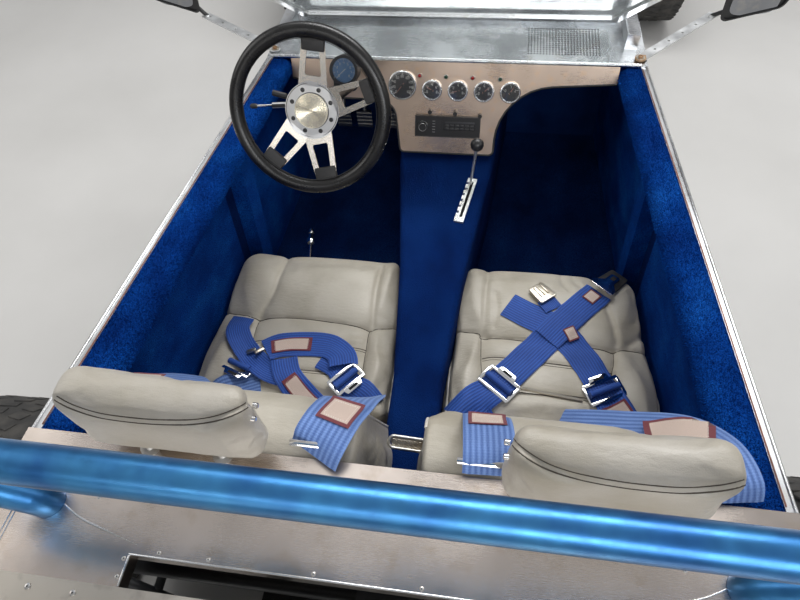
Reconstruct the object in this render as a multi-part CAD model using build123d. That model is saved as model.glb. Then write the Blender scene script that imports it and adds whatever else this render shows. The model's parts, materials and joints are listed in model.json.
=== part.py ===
from build123d import *
import math
import os

os.makedirs("parts", exist_ok=True)

# An open two-seat roadster with a folded aluminium body on a ladder frame.
# Millimetres, +X to the car's right, +Y forward, +Z up, ground at z = 0.
# A station is a length along the car, forward from the rear edge of the cowl.

# Overall lengths and axles
nose_reach = 2000.0
tail_reach = 1900.0
cowl_y = (tail_reach - nose_reach) / 2
front_axle = 1620.0
rear_axle = -1310.0

# Body stations and heights
eye_reach = 40.0
tail_station = eye_reach - tail_reach
nose_station = nose_reach - eye_reach
widest_station = -1250.0
bulkhead_station = -1200.0
screen_station = 190.0
firewall_station = 425.0
sill_z = 150.0
deck_z = 800.0
sheet = 4.0
side_wall = 16.0
side_slope = 0.07
nose_wall = 18.0

# Body rows: station, half width at the top edge, height of the top edge
BODY_ROWS = (
    (tail_station, 578.0, deck_z),
    (widest_station, 593.0, deck_z),
    (0.0, 531.0, 716.0),
    (screen_station, 522.0, 734.0),
    (firewall_station, 508.0, 720.0),
)
NOSE_ROWS = (BODY_ROWS[-1], (nose_station, 350.0, 590.0))

# Nose cone and bonnet
nose_low = 190.0
rear_shoulder = 12.0
nose_shoulder = 85.0
tip_length = 35.0
tip_inset = 28.0
lid_depth = 70.0
lid_gap = 7.0
lid_rim = 12.0
lid_front = nose_station - 67
hinge_station = nose_station - 55
cap_station = nose_station - 35
hinge_x = 200.0
hinge_drop = 16.0
hinge_pin = 6.0
mouth_half = 215.0
mouth_low = 255.0
mouth_high = 480.0
mouth_corner = 90.0

# Wheels
front_tyre_radius = 310.0
front_tyre_width = 225.0
front_tyre_x = 868.0
rear_tyre_radius = 330.0
rear_tyre_width = 265.0
rear_tyre_x = 832.0
rim_radius = 190.0
rim_wall = 8.0
rim_windows = 8
hub_bore = 26.0
running_gap = 0.3

# Ladder frame
rail_x = 300.0
rail_width = 50.0
rail_depth = 50.0
rail_top = sill_z
rail_setback = 20.0
rail_nose_gap = 30.0
cross_width = 60.0
rear_cross = 50.0
front_cross = 85.0
eye_bore = 14.0
eye_outer = 30.0
eye_z = 125.0

# Rear springs and the cross tube that carries their tops
spring_offset = 60.0
tie_z = 690.0
tie_radius = 20.0

# Cabin
tunnel_top = 450.0
tunnel_wall = 8.0
tunnel_corner = 16.0
floor_top = sill_z + sheet
lining = 8.0
roll_rear = 66.0
roll_front = 54.0
roll_depth = 44.0
roll_drop = 3.0
trim_front = -1.0
brace_station = -425.0
brace_width = 60.0
brace_depth = 36.0
pocket_width = 50.0
seat_front = -455.0
seat_back = -935.0
seat_gap = 6.0
cushion_top = 390.0
backrest_drop = 10.0
backrest_inner = 38.0
backrest_top_station = -1085.0

# Head pads on two posts each
pad_x = 305.0
pad_half = 131.0
pad_rear = -1228.0
pad_set = 15.0
pad_thick = 62.0
pad_rise = 46.0
pad_height = 130.0
post_radius = 8.0

# Deck opening and the cover behind it
slot_half = 341.0
slot_front = -1369.0
slot_rear = -1560.0
slot_lip = 22.0
cover_front = -1411.0
cover_inset = 20.0

# Roll hoop: leaned back from its feet to its top bar
hoop_station = -1329.0
hoop_foot_station = -1310.0
hoop_rise = 248.0
hoop_radius = 25.0

# Screen
screen_rake = 45.0
screen_height = 360.0
screen_frame = 22.0
screen_depth = 16.0
glass_depth = 5.0

# Mirrors on flat drilled strips that turn about a bolt through the cowl
strip_x = 511.0
strip_station = 24.0
strip_length = 325.0
strip_width = 28.0
strip_thick = 4.0
strip_pitch = 60.0
mirror_lift = 73.0
mirror_turn = 10.0
mirror_depth = 36.0

# Steering
steer_x = -288.0
steer_station = -415.0
steer_z = 846.0
steer_rake = 26.1
wheel_radius = 189.0
wheel_grip = 16.0
hub_depth = 22.0
hub_ring = 63.0
cap_radius = 39.0
column_radius = 20.0
kingpin_x = 790.0
kingpin_half = 95.0
steer_arm = 100.0
rack_radius = 10.0
rack_lift = 23.0

# Dash face
dash_rake = 22.0
dash_low = 476.0
radio_low = 523.0
radio_high = 580.0


def at(station):
    """Car coordinate of a station."""
    return cowl_y + station


def between(rows, station, column):
    """Value of a column of a station table, straight between its rows."""
    for near, far in zip(rows, rows[1:]):
        if near[0] <= station <= far[0]:
            share = (station - near[0]) / (far[0] - near[0])
            return near[column] + share * (far[column] - near[column])
    row = rows[0] if station < rows[0][0] else rows[-1]
    return row[column]


def rows_at(station):
    """The table that holds a station."""
    return BODY_ROWS if station <= firewall_station else NOSE_ROWS


def top_edge(station):
    """Height of the body's top edge at a station."""
    return between(rows_at(station), station, 2)


def half_width(station, z=None):
    """Half width outside the body at a station, at its top edge or lower down, where it leans out."""
    drop = 0.0 if z is None else top_edge(station) - z
    return between(rows_at(station), station, 1) + side_slope * drop


def both_sides(points):
    """Plan outline of the whole car from its right side's points."""
    return points + [(-x, y) for x, y in points[::-1]]


def block(x, y, z):
    """Box from pairs of limits along X, Y and Z."""
    size = (x[1] - x[0], y[1] - y[0], z[1] - z[0])
    middle = (sum(x) / 2, sum(y) / 2, sum(z) / 2)
    return Pos(*middle) * Box(*size)


def flat(outline):
    """Face from corner rows of two values, with a third where the corner is rounded."""
    radii = [row[2] if len(row) > 2 else 0 for row in outline]
    corners = [row[:2] for row in outline]
    if any(radii):
        return make_face(FilletPolyline(*corners, radius=radii, close=True))
    return make_face(Polyline(*corners, close=True))


def prism(outline, axis, start, end):
    """Flat outline, given in the two other axes, drawn out from start to end along an axis."""
    planes = {"x": Plane.YZ, "y": Plane.XZ, "z": Plane.XY}
    ways = {"x": Vector(1, 0, 0), "y": Vector(0, 1, 0), "z": Vector(0, 0, 1)}
    way = ways[axis]
    face = Pos(*(way * start)) * (planes[axis] * flat(outline))
    return extrude(face, amount=end - start, dir=way)


def leaning(plan, low, high):
    """Solid between two heights, from a function that gives its plan outline at a height."""
    faces = [Face(Wire.make_polygon([Vector(x, y, z) for x, y in plan(z)], close=True))
             for z in (low, high)]
    return loft(faces, ruled=True)


def slab(stations, inset, low, high):
    """Full width of the body between two heights, its sides set in by an inset."""
    def plan(z):
        return both_sides([(half_width(s, z) - inset, at(s)) for s in stations])
    return leaning(plan, low, high)


def band(stations, outer, inner, low, high):
    """Strip along the body's right side, between two insets and two heights."""
    def plan(z):
        near = [(half_width(s, z) - outer, at(s)) for s in stations]
        far = [(half_width(s, z) - inner, at(s)) for s in stations]
        return near + far[::-1]
    return leaning(plan, low, high)


def section(station, corners):
    """Face across the car at a station, from corner rows of x, z and corner radius."""
    return Pos(0, at(station), 0) * (Plane.XZ * flat(corners))


def rod(start, end, radius):
    """Round bar from one point to another."""
    run = Vector(*end) - Vector(*start)
    plane = Plane(origin=start, z_dir=run)
    return extrude(plane * Circle(radius), amount=run.length)


def tube(points, radii, radius):
    """Bent round bar: straight runs through the points, joined by arcs of the given radii."""
    pieces = []
    for edge in FilletPolyline(*points, radius=radii).edges():
        ring = Plane(origin=edge @ 0, z_dir=edge % 0) * Circle(radius)
        if edge.geom_type == GeomType.LINE:
            pieces.append(extrude(ring, amount=edge.length))
        else:
            spoke = edge @ 0 - edge.arc_center
            axis = Axis(edge.arc_center, spoke.cross(edge % 0))
            pieces.append(revolve(ring, axis=axis, revolution_arc=math.degrees(edge.length / edge.radius)))
    return fused(pieces)


def turned(profile, x, y, z):
    """Solid turned about an axis along X, from points of offset along X and radius."""
    face = Plane.XZ * make_face(Polyline(*profile, close=True))
    return Pos(x, y, z) * revolve(face, axis=Axis.X)


def other_side(shape):
    """The same piece on the other side of the car."""
    return mirror(shape, about=Plane.YZ)


def fused(shapes):
    """One solid from pieces that meet."""
    whole = shapes[0]
    for piece in shapes[1:]:
        whole = whole + piece
    return whole


def along(start, end, share):
    """Point a share of the way from one point to another."""
    return tuple(a + share * (b - a) for a, b in zip(start, end))


def save(name, *solids):
    """Write one node from its solids."""
    pieces = []
    for solid in solids:
        pieces.extend(solid.solids())
    shape = pieces[0] if len(pieces) == 1 else Compound(children=pieces)
    export_step(shape, f"parts/{name}.step")


# Ladder frame

def chassis_frame():
    """Two rails, eight crossmembers, a tow eye at each end, and the rear springs' cross tube."""
    rail_low = rail_top - rail_depth
    ends = (at(tail_station + rail_setback), at(nose_station - rail_nose_gap))
    rails = [block((s * rail_x - rail_width / 2, s * rail_x + rail_width / 2), ends, (rail_low, rail_top))
             for s in (-1, 1)]
    stations = (tail_station + rear_cross, rear_axle, bulkhead_station + 60, -600.0, 0.0, 800.0,
                front_axle - steer_arm, nose_station - front_cross)
    crosses = [block((-rail_x, rail_x), (at(s) - cross_width / 2, at(s) + cross_width / 2),
                     (rail_low, rail_top)) for s in stations]
    bores = []
    eyes = []
    for near, far in ((stations[-1], nose_reach), (stations[0], -tail_reach)):
        way = 1 if far > near else -1
        middle = at(far - way * eye_outer)
        eyes.append(block((-8, 8), sorted((at(near), middle)), (eye_z - 20, rail_top - 5)))
        eyes.append(Pos(0, middle, eye_z) * Rot(0, 90, 0) * Cylinder(eye_outer, 16))
        bores.append(Pos(0, middle, eye_z) * Rot(0, 90, 0) * Cylinder(eye_bore, 40))
    frame = fused(rails + crosses + eyes) - bores[0] - bores[1]
    tie = rear_axle + spring_offset
    reach = min(half_width(tie + k * tie_radius, tie_z + tie_radius) for k in (-1, 1)) - side_wall
    save("chassis_frame", frame, rod((-reach, at(tie), tie_z), (reach, at(tie), tie_z), tie_radius))


# Body panels

def body_sides():
    """Side panels from the tail to the firewall, leaning out downwards, open over the half shafts."""
    stations = [row[0] for row in BODY_ROWS]
    outline = [(at(s), top_edge(s)) for s in stations]
    outline = [(outline[0][0], sill_z)] + outline + [(outline[-1][0], sill_z)]
    right = band(stations, 0, side_wall, sill_z, deck_z + 50) & prism(outline, "x", 0, 800)
    arch = Pos(550, at(rear_axle), rear_tyre_radius - 30) * Rot(0, 90, 0) * Cylinder(200, 400)
    right = right - arch
    save("body_side_right", right)
    save("body_side_left", other_side(right))


def floor_pan():
    """Floor each side of the tunnel."""
    pan = slab((bulkhead_station, 0.0, firewall_station - sheet), side_wall, sill_z, floor_top)
    save("floor_pan", pan - prism(tunnel_plan(-tunnel_wall), "z", 0, 1000))


# Tunnel rows: station, half width outside
TUNNEL_ROWS = (
    (bulkhead_station, 56.0),
    (-860.0, 58.0),
    (-525.0, 88.0),
    (-100.0, 143.0),
    (firewall_station - sheet, 190.0),
)


def tunnel_plan(grow):
    """Plan outline of the tunnel, grown by a clearance or drawn in by a wall."""
    return both_sides([(w + grow, at(s)) for s, w in TUNNEL_ROWS])


def tunnel_console():
    """Hollow tunnel from the rear bulkhead to the firewall, its top edges rounded."""
    outer = prism(tunnel_plan(0), "z", floor_top, tunnel_top)
    tops = [e for e in outer.edges().group_by(Axis.Z)[-1] if abs((e % 0.5).Y) > 0.5]
    outer = fillet(tops, tunnel_corner)
    save("tunnel_console", outer - prism(tunnel_plan(-tunnel_wall), "z", 0, tunnel_top - tunnel_wall))


def bulkheads():
    """Rear bulkhead behind the seats, and the firewall ahead of the pedals."""
    rear = slab((bulkhead_station - sheet, bulkhead_station), side_wall, sill_z, deck_z)
    slot = block((-40, 40), (at(bulkhead_station) - 20, at(bulkhead_station) + 20),
                 (shaft_z() - 60, shaft_z() + 70))
    front = slab((firewall_station - sheet, firewall_station), side_wall, sill_z, top_edge(firewall_station))
    inner = TUNNEL_ROWS[-1][1] - tunnel_wall
    mouth = block((-inner, inner), (at(firewall_station) - 20, at(firewall_station) + 20),
                  (0, tunnel_top - tunnel_wall))
    column = rod(on_column(700), on_column(1100), column_radius + 10)
    save("bulkheads", rear - slot, front - mouth - column)


def shaft_z():
    """Height of the propeller shaft at the final drive."""
    return rear_tyre_radius


def cowl_panel():
    """Panel over the dash and pedals, bent at the screen's foot."""
    stations = (0.0, screen_station, firewall_station)
    top = [(at(s), top_edge(s) + sheet) for s in stations]
    low = [(at(s), top_edge(s)) for s in stations]
    plan = both_sides([(half_width(s), at(s)) for s in stations])
    save("cowl_panel", prism(top + low[::-1], "x", -700, 700) & prism(plan, "z", 500, 1000))


def rear_deck():
    """Deck behind the seats, with a lipped opening, and the cover laid over its rear."""
    plan = both_sides([(half_width(s), at(s)) for s in (tail_station, widest_station, bulkhead_station)])
    plate = prism(plan, "z", deck_z, deck_z + sheet)
    wall = 3.0
    lip = block((-slot_half - wall, slot_half + wall), (at(slot_rear) - wall, at(slot_front) + wall),
                (deck_z - slot_lip, deck_z + sheet))
    hole = block((-slot_half, slot_half), (at(slot_rear), at(slot_front)), (deck_z - 100, deck_z + 100))
    save("rear_deck", plate + lip - hole - hoop_tube(hoop_radius + running_gap))
    cover = both_sides([(half_width(s) - cover_inset, at(s)) for s in (tail_station, cover_front)])
    save("rear_cover", prism(cover, "z", deck_z + sheet, deck_z + 2 * sheet))


def rear_panel():
    """Upright panel that closes the tail, open under its lower edge."""
    save("rear_panel", slab((tail_station, tail_station + sheet), side_wall, 300, deck_z))


# Nose and bonnet

def nose_form(inset, end):
    """Tapering form of the nose from the firewall to an end station, set in by a wall."""
    faces = []
    for station, shoulder in ((firewall_station - 1, rear_shoulder), (end, nose_shoulder)):
        row = max(station, firewall_station)
        low, high = nose_low - (1 if inset else 0), top_edge(row) - inset
        wide, narrow = half_width(row, low) - inset, half_width(row) - inset
        radius = max(shoulder - inset, 2.0)
        faces.append(section(station if inset else row,
                             [(-wide, low, 0), (-narrow, high, radius), (narrow, high, radius), (wide, low, 0)]))
    return loft(faces, ruled=True)


def nose_tip():
    """Front of the nose, drawn in all round to its mouth."""
    faces = []
    for station, inset in ((nose_station - tip_length, 0.0), (nose_station, tip_inset)):
        low, high = nose_low + inset / 2, top_edge(nose_station - tip_length) - inset
        wide, narrow = half_width(nose_station - tip_length, nose_low) - inset, \
            half_width(nose_station - tip_length) - inset
        faces.append(section(station, [(-wide, low, 10), (-narrow, high, nose_shoulder),
                                       (narrow, high, nose_shoulder), (wide, low, 10)]))
    return loft(faces, ruled=True)


def lid_region(rear, front, drop):
    """Space over the bonnet's lower edge, between two stations."""
    low = [(at(s), top_edge(s) - drop) for s in (rear, front)]
    return prism(low + [(low[1][0], 1000), (low[0][0], 1000)], "x", -800, 800)


def hinge_z():
    """Height of the bonnet's hinge pins."""
    return top_edge(hinge_station) - hinge_drop


def nose_panel():
    """Hollow nose with its mouth, the space that the bonnet closes, and two hinge pins."""
    body_end = nose_station - tip_length
    shell = nose_form(0, body_end) + nose_tip()
    shell = shell - nose_form(nose_wall, body_end)
    reach = half_width(nose_station) - nose_wall - tip_inset
    shell = shell - block((-reach, reach), (at(body_end - 20), at(nose_station - nose_wall)),
                          (nose_low - 10, top_edge(nose_station) - tip_inset - nose_wall))
    mouth = [(-mouth_half, mouth_low, mouth_corner), (-mouth_half, mouth_high, mouth_corner),
             (mouth_half, mouth_high, mouth_corner), (mouth_half, mouth_low, mouth_corner)]
    shell = shell - prism(mouth, "y", at(body_end), at(nose_reach))
    shell = shell - lid_region(firewall_station - 10, cap_station, lid_depth + lid_gap)
    rack_y = at(front_axle - steer_arm)
    shell = shell - rod((-700, rack_y, rack_z()), (700, rack_y, rack_z()), rack_radius + 9)
    y = at(hinge_station)
    for s in (-1, 1):
        shell = shell + rod((s * hinge_x - 40, y, hinge_z()), (s * hinge_x + 40, y, hinge_z()), hinge_pin)
        for edge in (-35, 35):
            shell = shell + block((s * hinge_x + edge - 5, s * hinge_x + edge + 5),
                                  (y - 8, at(cap_station) + 6), (hinge_z() - 8, hinge_z() + 6))
    save("nose_panel", shell)


def bonnet():
    """Lid of the nose's top and shoulders, stiffened round its edge, with two hinge ears."""
    rear = firewall_station + 6
    form = nose_form(0, nose_station - tip_length)
    lid = form & lid_region(rear, lid_front, lid_depth)
    inner = [(half_width(rear) - lid_rim, at(rear) + lid_rim),
             (half_width(lid_front) - lid_rim, at(lid_front) - lid_rim)]
    lid = lid - (nose_form(1.5 * sheet, nose_station - tip_length) & prism(both_sides(inner), "z", 300, 1000))
    y = at(hinge_station)
    for s in (-1, 1):
        ear = block((s * hinge_x - 25, s * hinge_x + 25), (at(lid_front) - 20, y + 10),
                    (hinge_z() - 10, hinge_z() + 10))
        bore = rod((s * hinge_x - 60, y, hinge_z()), (s * hinge_x + 60, y, hinge_z()), hinge_pin + running_gap)
        lid = lid + ear - bore
    save("bonnet", lid)


def radiator():
    """Core between two side tanks, standing on the front crossmember."""
    y = at(nose_station - front_cross)
    core = block((-195, 195), (y - 20, y + 20), (rail_top + 10, top_edge(nose_station - front_cross) - 108))
    top = top_edge(nose_station - front_cross) - 98
    tanks = [block(sorted((s * 195, s * 235)), (y - 28, y + 28), (rail_top, top)) for s in (-1, 1)]
    neck = rod((215, y, top - 5), (215, y, top + 14), 20)
    save("radiator", fused([core, neck] + tanks))


# Screen, mirrors and hoop

# Screen outline, right side: across, up the screen, corner radius
SCREEN_CORNERS = ((462.0, 0.0, 0.0), (530.0, 200.0, 60.0), (530.0, 320.0, 20.0), (500.0, screen_height, 16.0))


def screen_face(inset):
    """Screen outline, set in by a frame's width."""
    right = [(x - inset, min(max(v, inset), screen_height - inset), r) for x, v, r in SCREEN_CORNERS]
    return flat(right + [(-x, v, r) for x, v, r in right[::-1]])


def windscreen():
    """Raked frame on two side posts, and the glass inside it."""
    low = top_edge(screen_station) + sheet + screen_depth * 0.5 * math.sin(math.radians(screen_rake))
    place = Pos(0, at(screen_station), low) * Rot(180 - screen_rake, 0, 0)
    ring = extrude(screen_face(0), amount=screen_depth / 2, both=True)
    hole = extrude(screen_face(screen_frame), amount=screen_depth, both=True)
    glass = extrude(screen_face(screen_frame), amount=glass_depth / 2, both=True)
    rear, front = screen_station - 121, screen_station + 16
    post_top = top_edge(screen_station) + sheet + 30
    outline = [(at(rear), post_top), (at(rear), top_edge(rear) + sheet),
               (at(screen_station), top_edge(screen_station) + sheet),
               (at(front), top_edge(front) + sheet), (at(front), post_top)]
    post = prism(outline, "x", 473, 507)
    save("windscreen_frame", fused([place * (ring - hole), post, other_side(post)]))
    save("windscreen_glass", place * glass)


# Mirror arms, right and left: turn of the strip, how far out its head stands and its station
MIRROR_ARMS = ((45.9, 809.0, 210.0), (32.7, 861.0, 203.0))


def mirror_head():
    """Mirror head with its glass set back in a rim, facing +Z, its outer end along +X."""
    # Outline: across, up, corner radius
    outline = [(-84, -54, 20), (-90, 50, 40), (90, 56, 34), (86, -22, 30)]
    lip = 5.0
    back = Pos(0, 0, -mirror_depth) * flat([(x * 0.72, z * 0.72, r * 0.72) for x, z, r in outline])
    recess = flat([(x * 0.93, z * 0.9, r * 0.9) for x, z, r in outline])
    return Pos(0, 0, mirror_depth / 2) * (loft([flat(outline), back], ruled=True) - extrude(recess, amount=-lip))


def mirror_strip(turn):
    """Drilled strip with a round end at its bolt, on a washer on the cowl, turned out from dead ahead."""
    strip = Pos(strip_length / 2, 0, 0) * Box(strip_length, strip_width, strip_thick)
    strip = strip + Cylinder(strip_width / 2, strip_thick)
    for i in range(1, int(strip_length / strip_pitch) + 1):
        strip = strip - Pos(i * strip_pitch, 0, 0) * Cylinder(strip_width / 7, 3 * strip_thick)
    place = Pos(strip_x, at(strip_station), mirror_base() + strip_thick / 2)
    washer = 11.0
    washer_foot = top_edge(strip_station + washer) + sheet + running_gap
    foot = rod((strip_x, at(strip_station), washer_foot), (strip_x, at(strip_station), mirror_base() + 1), washer)
    return place * Rot(0, 0, turn) * strip + foot


def mirror_base():
    """Height of the strips' underside, clear of the cowl where they cross its edge."""
    return top_edge(strip_station + 1.5 * strip_width) + sheet + running_gap


def mirrors():
    """Mirror heads on their strips, each carried by a short stem from the strip's end."""
    lean = math.radians(mirror_turn)
    arms = []
    for turn, across, station in MIRROR_ARMS:
        middle = (across, at(station), mirror_base() + mirror_lift)
        plane = Plane(origin=middle, x_dir=(math.cos(lean), math.sin(lean), 0),
                      z_dir=(math.sin(lean), -math.cos(lean), 0))
        reach = strip_length - strip_width / 2
        tip = (strip_x + reach * math.cos(math.radians(turn)),
               at(strip_station) + reach * math.sin(math.radians(turn)), mirror_base() + 1)
        stem = rod(tip, tuple(plane.from_local_coords(Vector(-40, -25, -5))), 6)
        arms.append(fused([mirror_strip(turn), plane * mirror_head(), stem]))
    save("mirrors", arms[0], other_side(arms[1]))


def hoop_tube(radius):
    """Hoop from one foot to the other: out, up, in and across."""
    lean = (hoop_station - hoop_foot_station) / hoop_rise
    side = [(497, -60), (497, 25), (600, 135), (525, hoop_rise)]
    points = [(x, at(hoop_foot_station) + lean * z, deck_z + z) for x, z in side]
    points = points + [(-x, y, z) for x, y, z in points[::-1]]
    return tube(points, [40, 60, 70, 70, 60, 40], radius)


def roll_hoop():
    """Bent tube over the width of the cabin, its feet through the deck."""
    save("roll_hoop", hoop_tube(hoop_radius))


# Dashboard, column and controls

def dash_plane():
    """Plane of the dash face: x across, y up the face, z towards the seats."""
    rake = math.radians(dash_rake)
    return Plane(origin=(0, at(0), top_edge(0)), x_dir=(1, 0, 0), z_dir=(0, -math.cos(rake), math.sin(rake)))


def on_dash(z):
    """Distance up the dash face, from its top edge, of a height."""
    return (z - top_edge(0)) / math.cos(math.radians(dash_rake))


def dashboard():
    """Folded dash face, cut away in arches over the column and over the passenger's knees."""
    top = half_width(0) - side_wall - roll_front - 0.5
    # Lower edge from right to left: across, height, corner radius
    lower = [(top, 675, 0), (141, 655, 160), (138, dash_low, 14), (-142, dash_low, 14),
             (-158, 618, 55), (-405, 618, 30), (-440, 664, 20), (-top, 668, 0)]
    outline = [(-top, 0, 0), (top, 0, 0)] + [(x, on_dash(z), r) for x, z, r in lower]
    panel = dash_plane() * extrude(flat(outline), amount=-sheet)
    save("dashboard", panel - rod(on_column(300), on_column(600), column_radius + 3))


# Gauges: across, height on the dash face, bezel radius
GAUGES = (
    (-135.0, 656.0, 41.0),
    (-49.0, 646.0, 29.0),
    (25.0, 646.0, 29.0),
    (99.0, 646.0, 29.0),
    (173.0, 646.0, 29.0),
)
# Warning lamps and pull knobs: across, height, radius, how far they stand out
SMALL_CONTROLS = (
    (-85.0, 682.0, 6.0, 5.0),
    (-10.0, 681.0, 6.0, 5.0),
    (65.0, 680.0, 6.0, 5.0),
    (142.0, 679.0, 6.0, 5.0),
    (-52.0, 590.0, 6.0, 16.0),
    (21.0, 588.0, 6.0, 16.0),
    (93.0, 584.0, 6.0, 16.0),
)


def instruments():
    """Gauges with a bezel and a sunk dial, warning lamps, pull knobs and the radio's front."""
    plane = dash_plane()
    solids = []
    bezel, wall, dial = 10.0, 4.0, 4.0
    for x, z, r in GAUGES:
        ring = Pos(0, 0, bezel / 2) * Cylinder(r, bezel) - Pos(0, 0, dial + bezel) * Cylinder(r - wall, 2 * bezel)
        ring = chamfer(ring.edges().filter_by(GeomType.CIRCLE).group_by(Axis.Z)[-1].sort_by(SortBy.RADIUS)[-1], 2)
        solids.append(plane * (Pos(x, on_dash(z), 0) * ring))
    for x, z, r, out in SMALL_CONTROLS:
        solids.append(plane * (Pos(x, on_dash(z), out / 2) * Cylinder(r, out)))
    low, high = on_dash(radio_low), on_dash(radio_high)
    radio = extrude(flat([(-96, low, 4), (96, low, 4), (96, high, 4), (-96, high, 4)]), amount=12)
    radio = radio - Pos(35, (low + high) / 2 + 4, 12) * Box(96, 26, 6)
    radio = radio + Pos(-72, (low + high) / 2, 16) * Cylinder(14, 16)
    solids.append(plane * radio)
    save("instruments", *solids)


def on_column(distance):
    """Point on the steering column's line, a distance forward of the wheel's middle."""
    rake = math.radians(steer_rake)
    return (steer_x, at(steer_station) + distance * math.cos(rake), steer_z - distance * math.sin(rake))


def column_plane(distance):
    """Plane across the column, x to the right, z towards the driver."""
    rake = math.radians(steer_rake)
    return Plane(origin=on_column(distance), x_dir=(1, 0, 0), z_dir=(0, -math.cos(rake), math.sin(rake)))


# Column stalks: distance forward of the wheel, angle round the column, length
STALKS = ((92.0, 168.0, 118.0), (112.0, 184.0, 126.0))
# Rev counter on top of the column: distance forward, offset across, radius, wall, depth
COUNTER = (265.0, 20.0, 38.0, 7.0, 44.0)


def rev_counter():
    """Cup of the rev counter, with its dial sunk in, seated on the column."""
    distance, across, radius, wall, depth = COUNTER
    rise = column_radius + radius - 1
    cup = Pos(across, rise, -depth / 2) * Cylinder(radius, depth) - Pos(across, rise, 0) * Cylinder(radius - wall, 12)
    saddle = Pos(across / 2, column_radius + 2, -depth / 2) * Box(column_radius + across, 14, 24)
    return column_plane(distance) * (cup + saddle)


def steering_column():
    """Column tube with its switch housing and two stalks, and the lower shaft to the pinion."""
    head = hub_depth + 37 + running_gap
    column = rod(on_column(head), on_column(940), column_radius)
    housing = rod(on_column(head + 15), on_column(head + 75), column_radius + 14)
    lower = rod(on_column(930), (steer_x + 28, at(front_axle - steer_arm) - 16.3, rack_z() + 36), 9)
    pieces = [column, housing, lower, rev_counter()]
    for distance, angle, length in STALKS:
        plane = column_plane(distance)
        way = Vector(math.cos(math.radians(angle)), math.sin(math.radians(angle)), 0)
        points = [plane.from_local_coords(way * d) for d in (column_radius, length - 34, length)]
        pieces.append(rod(tuple(points[0]), tuple(points[1]), 4))
        pieces.append(rod(tuple(points[1]), tuple(points[2]), 7))
    save("steering_column", fused(pieces))


SPOKE_ANGLES = (84.0, 20.0, -78.0, -130.0)


def steering_spoke(angle):
    """Slotted spoke that rises from the hub ring to the rim."""
    inner, outer = hub_ring - 12, wheel_radius - 1.4 * wheel_grip
    rise = hub_depth - 4.0
    tilt = math.degrees(math.atan2(rise, outer - inner))
    length = math.hypot(outer - inner, rise)
    blade = [(0, -34, 0), (length, -25, 0), (length, 25, 0), (0, 34, 0)]
    slot = [(26, -19, 5), (length - 16, -13, 5), (length - 16, 13, 5), (26, 19, 5)]
    bar = extrude(flat(blade), amount=2, both=True) - extrude(flat(slot), amount=4, both=True)
    block_end = Pos(length, 0, 0) * Box(26, 52, 14)
    return Rot(0, 0, angle) * Pos(inner, 0, -hub_depth) * Rot(0, -tilt, 0) * (bar + block_end)


def steering_wheel():
    """Round grip on four slotted spokes, with a bolted hub ring, a cap and the boss behind."""
    rim = Torus(wheel_radius - wheel_grip, wheel_grip)
    ring = Pos(0, 0, -hub_depth) * Cylinder(hub_ring, 5)
    cap = Pos(0, 0, 5 - hub_depth) * Cylinder(cap_radius, 8)
    boss = Pos(0, 0, -hub_depth - 8) * Cylinder(cap_radius, 14) + Pos(0, 0, -hub_depth - 24) * Cylinder(24, 26)
    pieces = [rim, ring, cap, boss] + [steering_spoke(angle) for angle in SPOKE_ANGLES]
    save("steering_wheel", column_plane(0) * fused(pieces))


def shift_lever():
    """Slotted gate plate with teeth along its left edge, and a thin lever with a ball knob."""
    half, length, pitch = 13.5, 178.0, 24.0
    plate = [(half, -length / 2), (half, length / 2), (-half, length / 2)]
    for i in range(6):
        y = length / 2 - 18 - i * pitch
        plate = plate + [(-half, y), (-half + 6, y), (-half + 6, y - 9), (-half, y - 9)]
    plate = plate + [(-half, -length / 2)]
    slot = [(-2, -length / 2 + 18), (6, -length / 2 + 18), (6, length / 2 - 14), (-2, length / 2 - 14)]
    gate = extrude(flat(plate) - flat(slot), amount=6)
    gate = Pos(71, at(-269), tunnel_top) * Rot(0, 0, -9.5) * gate
    foot, top = (80.5, at(-201), tunnel_top + 3), (94, at(-302), tunnel_top + 231)
    save("shift_lever", fused([gate, rod(foot, top, 4), Pos(*top) * Sphere(17)]))


# Pedals: across, half width of the pad
PEDALS = ((-418.0, 26.0), (-340.0, 28.0), (-226.0, 20.0))


def pedals():
    """Hanging clutch, brake and throttle pedals, each on a bracket on the firewall."""
    solids = []
    wall = at(firewall_station) - sheet
    for x, half in PEDALS:
        pad = block((x - half, x + half), (at(300), at(308)), (245, 315))
        ribs = [block((x - half, x + half), (at(297), at(300)), (z, z + 6)) for z in (254, 270, 286, 302)]
        arm = rod((x, at(306), 290), (x, wall - 20, 560), 8)
        bracket = block((x - 14, x + 14), (wall - 34, wall), (546, 574))
        solids.append(fused([pad, arm, bracket] + ribs))
    save("pedals", *solids)


# Trim and seats

def side_trims():
    """Carpeted side: a round-edged roll under the top edge, and a lining with a brace and a pocket."""
    faces = []
    for s, width in ((bulkhead_station, roll_rear), (trim_front, roll_front)):
        high, low = top_edge(s) - roll_drop, top_edge(s) - roll_depth
        inner = half_width(s) - side_wall - width
        faces.append(section(s, [(inner, low, 10), (inner, high, 26), (half_width(s, high) - side_wall, high, 0),
                                 (half_width(s, low) - side_wall, low, 0)]))
    roll = loft(faces, ruled=True)
    ends = (bulkhead_station, 0.0, screen_station, firewall_station - sheet)
    panel_top = top_edge(0) - roll_depth / 2
    panel = band(ends, side_wall, side_wall + lining, floor_top, panel_top)
    brace = band(ends, side_wall, side_wall + lining + brace_depth, floor_top, panel_top)
    brace = brace & block((0, 800), (at(brace_station), at(brace_station) + brace_width), (0, 1000))
    pocket = block((0, 800), (at(brace_station) - pocket_width, at(brace_station)), (200, 620))
    right = fused([roll, panel - pocket, brace])
    save("side_trim_right", right)
    save("side_trim_left", other_side(right))


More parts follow.
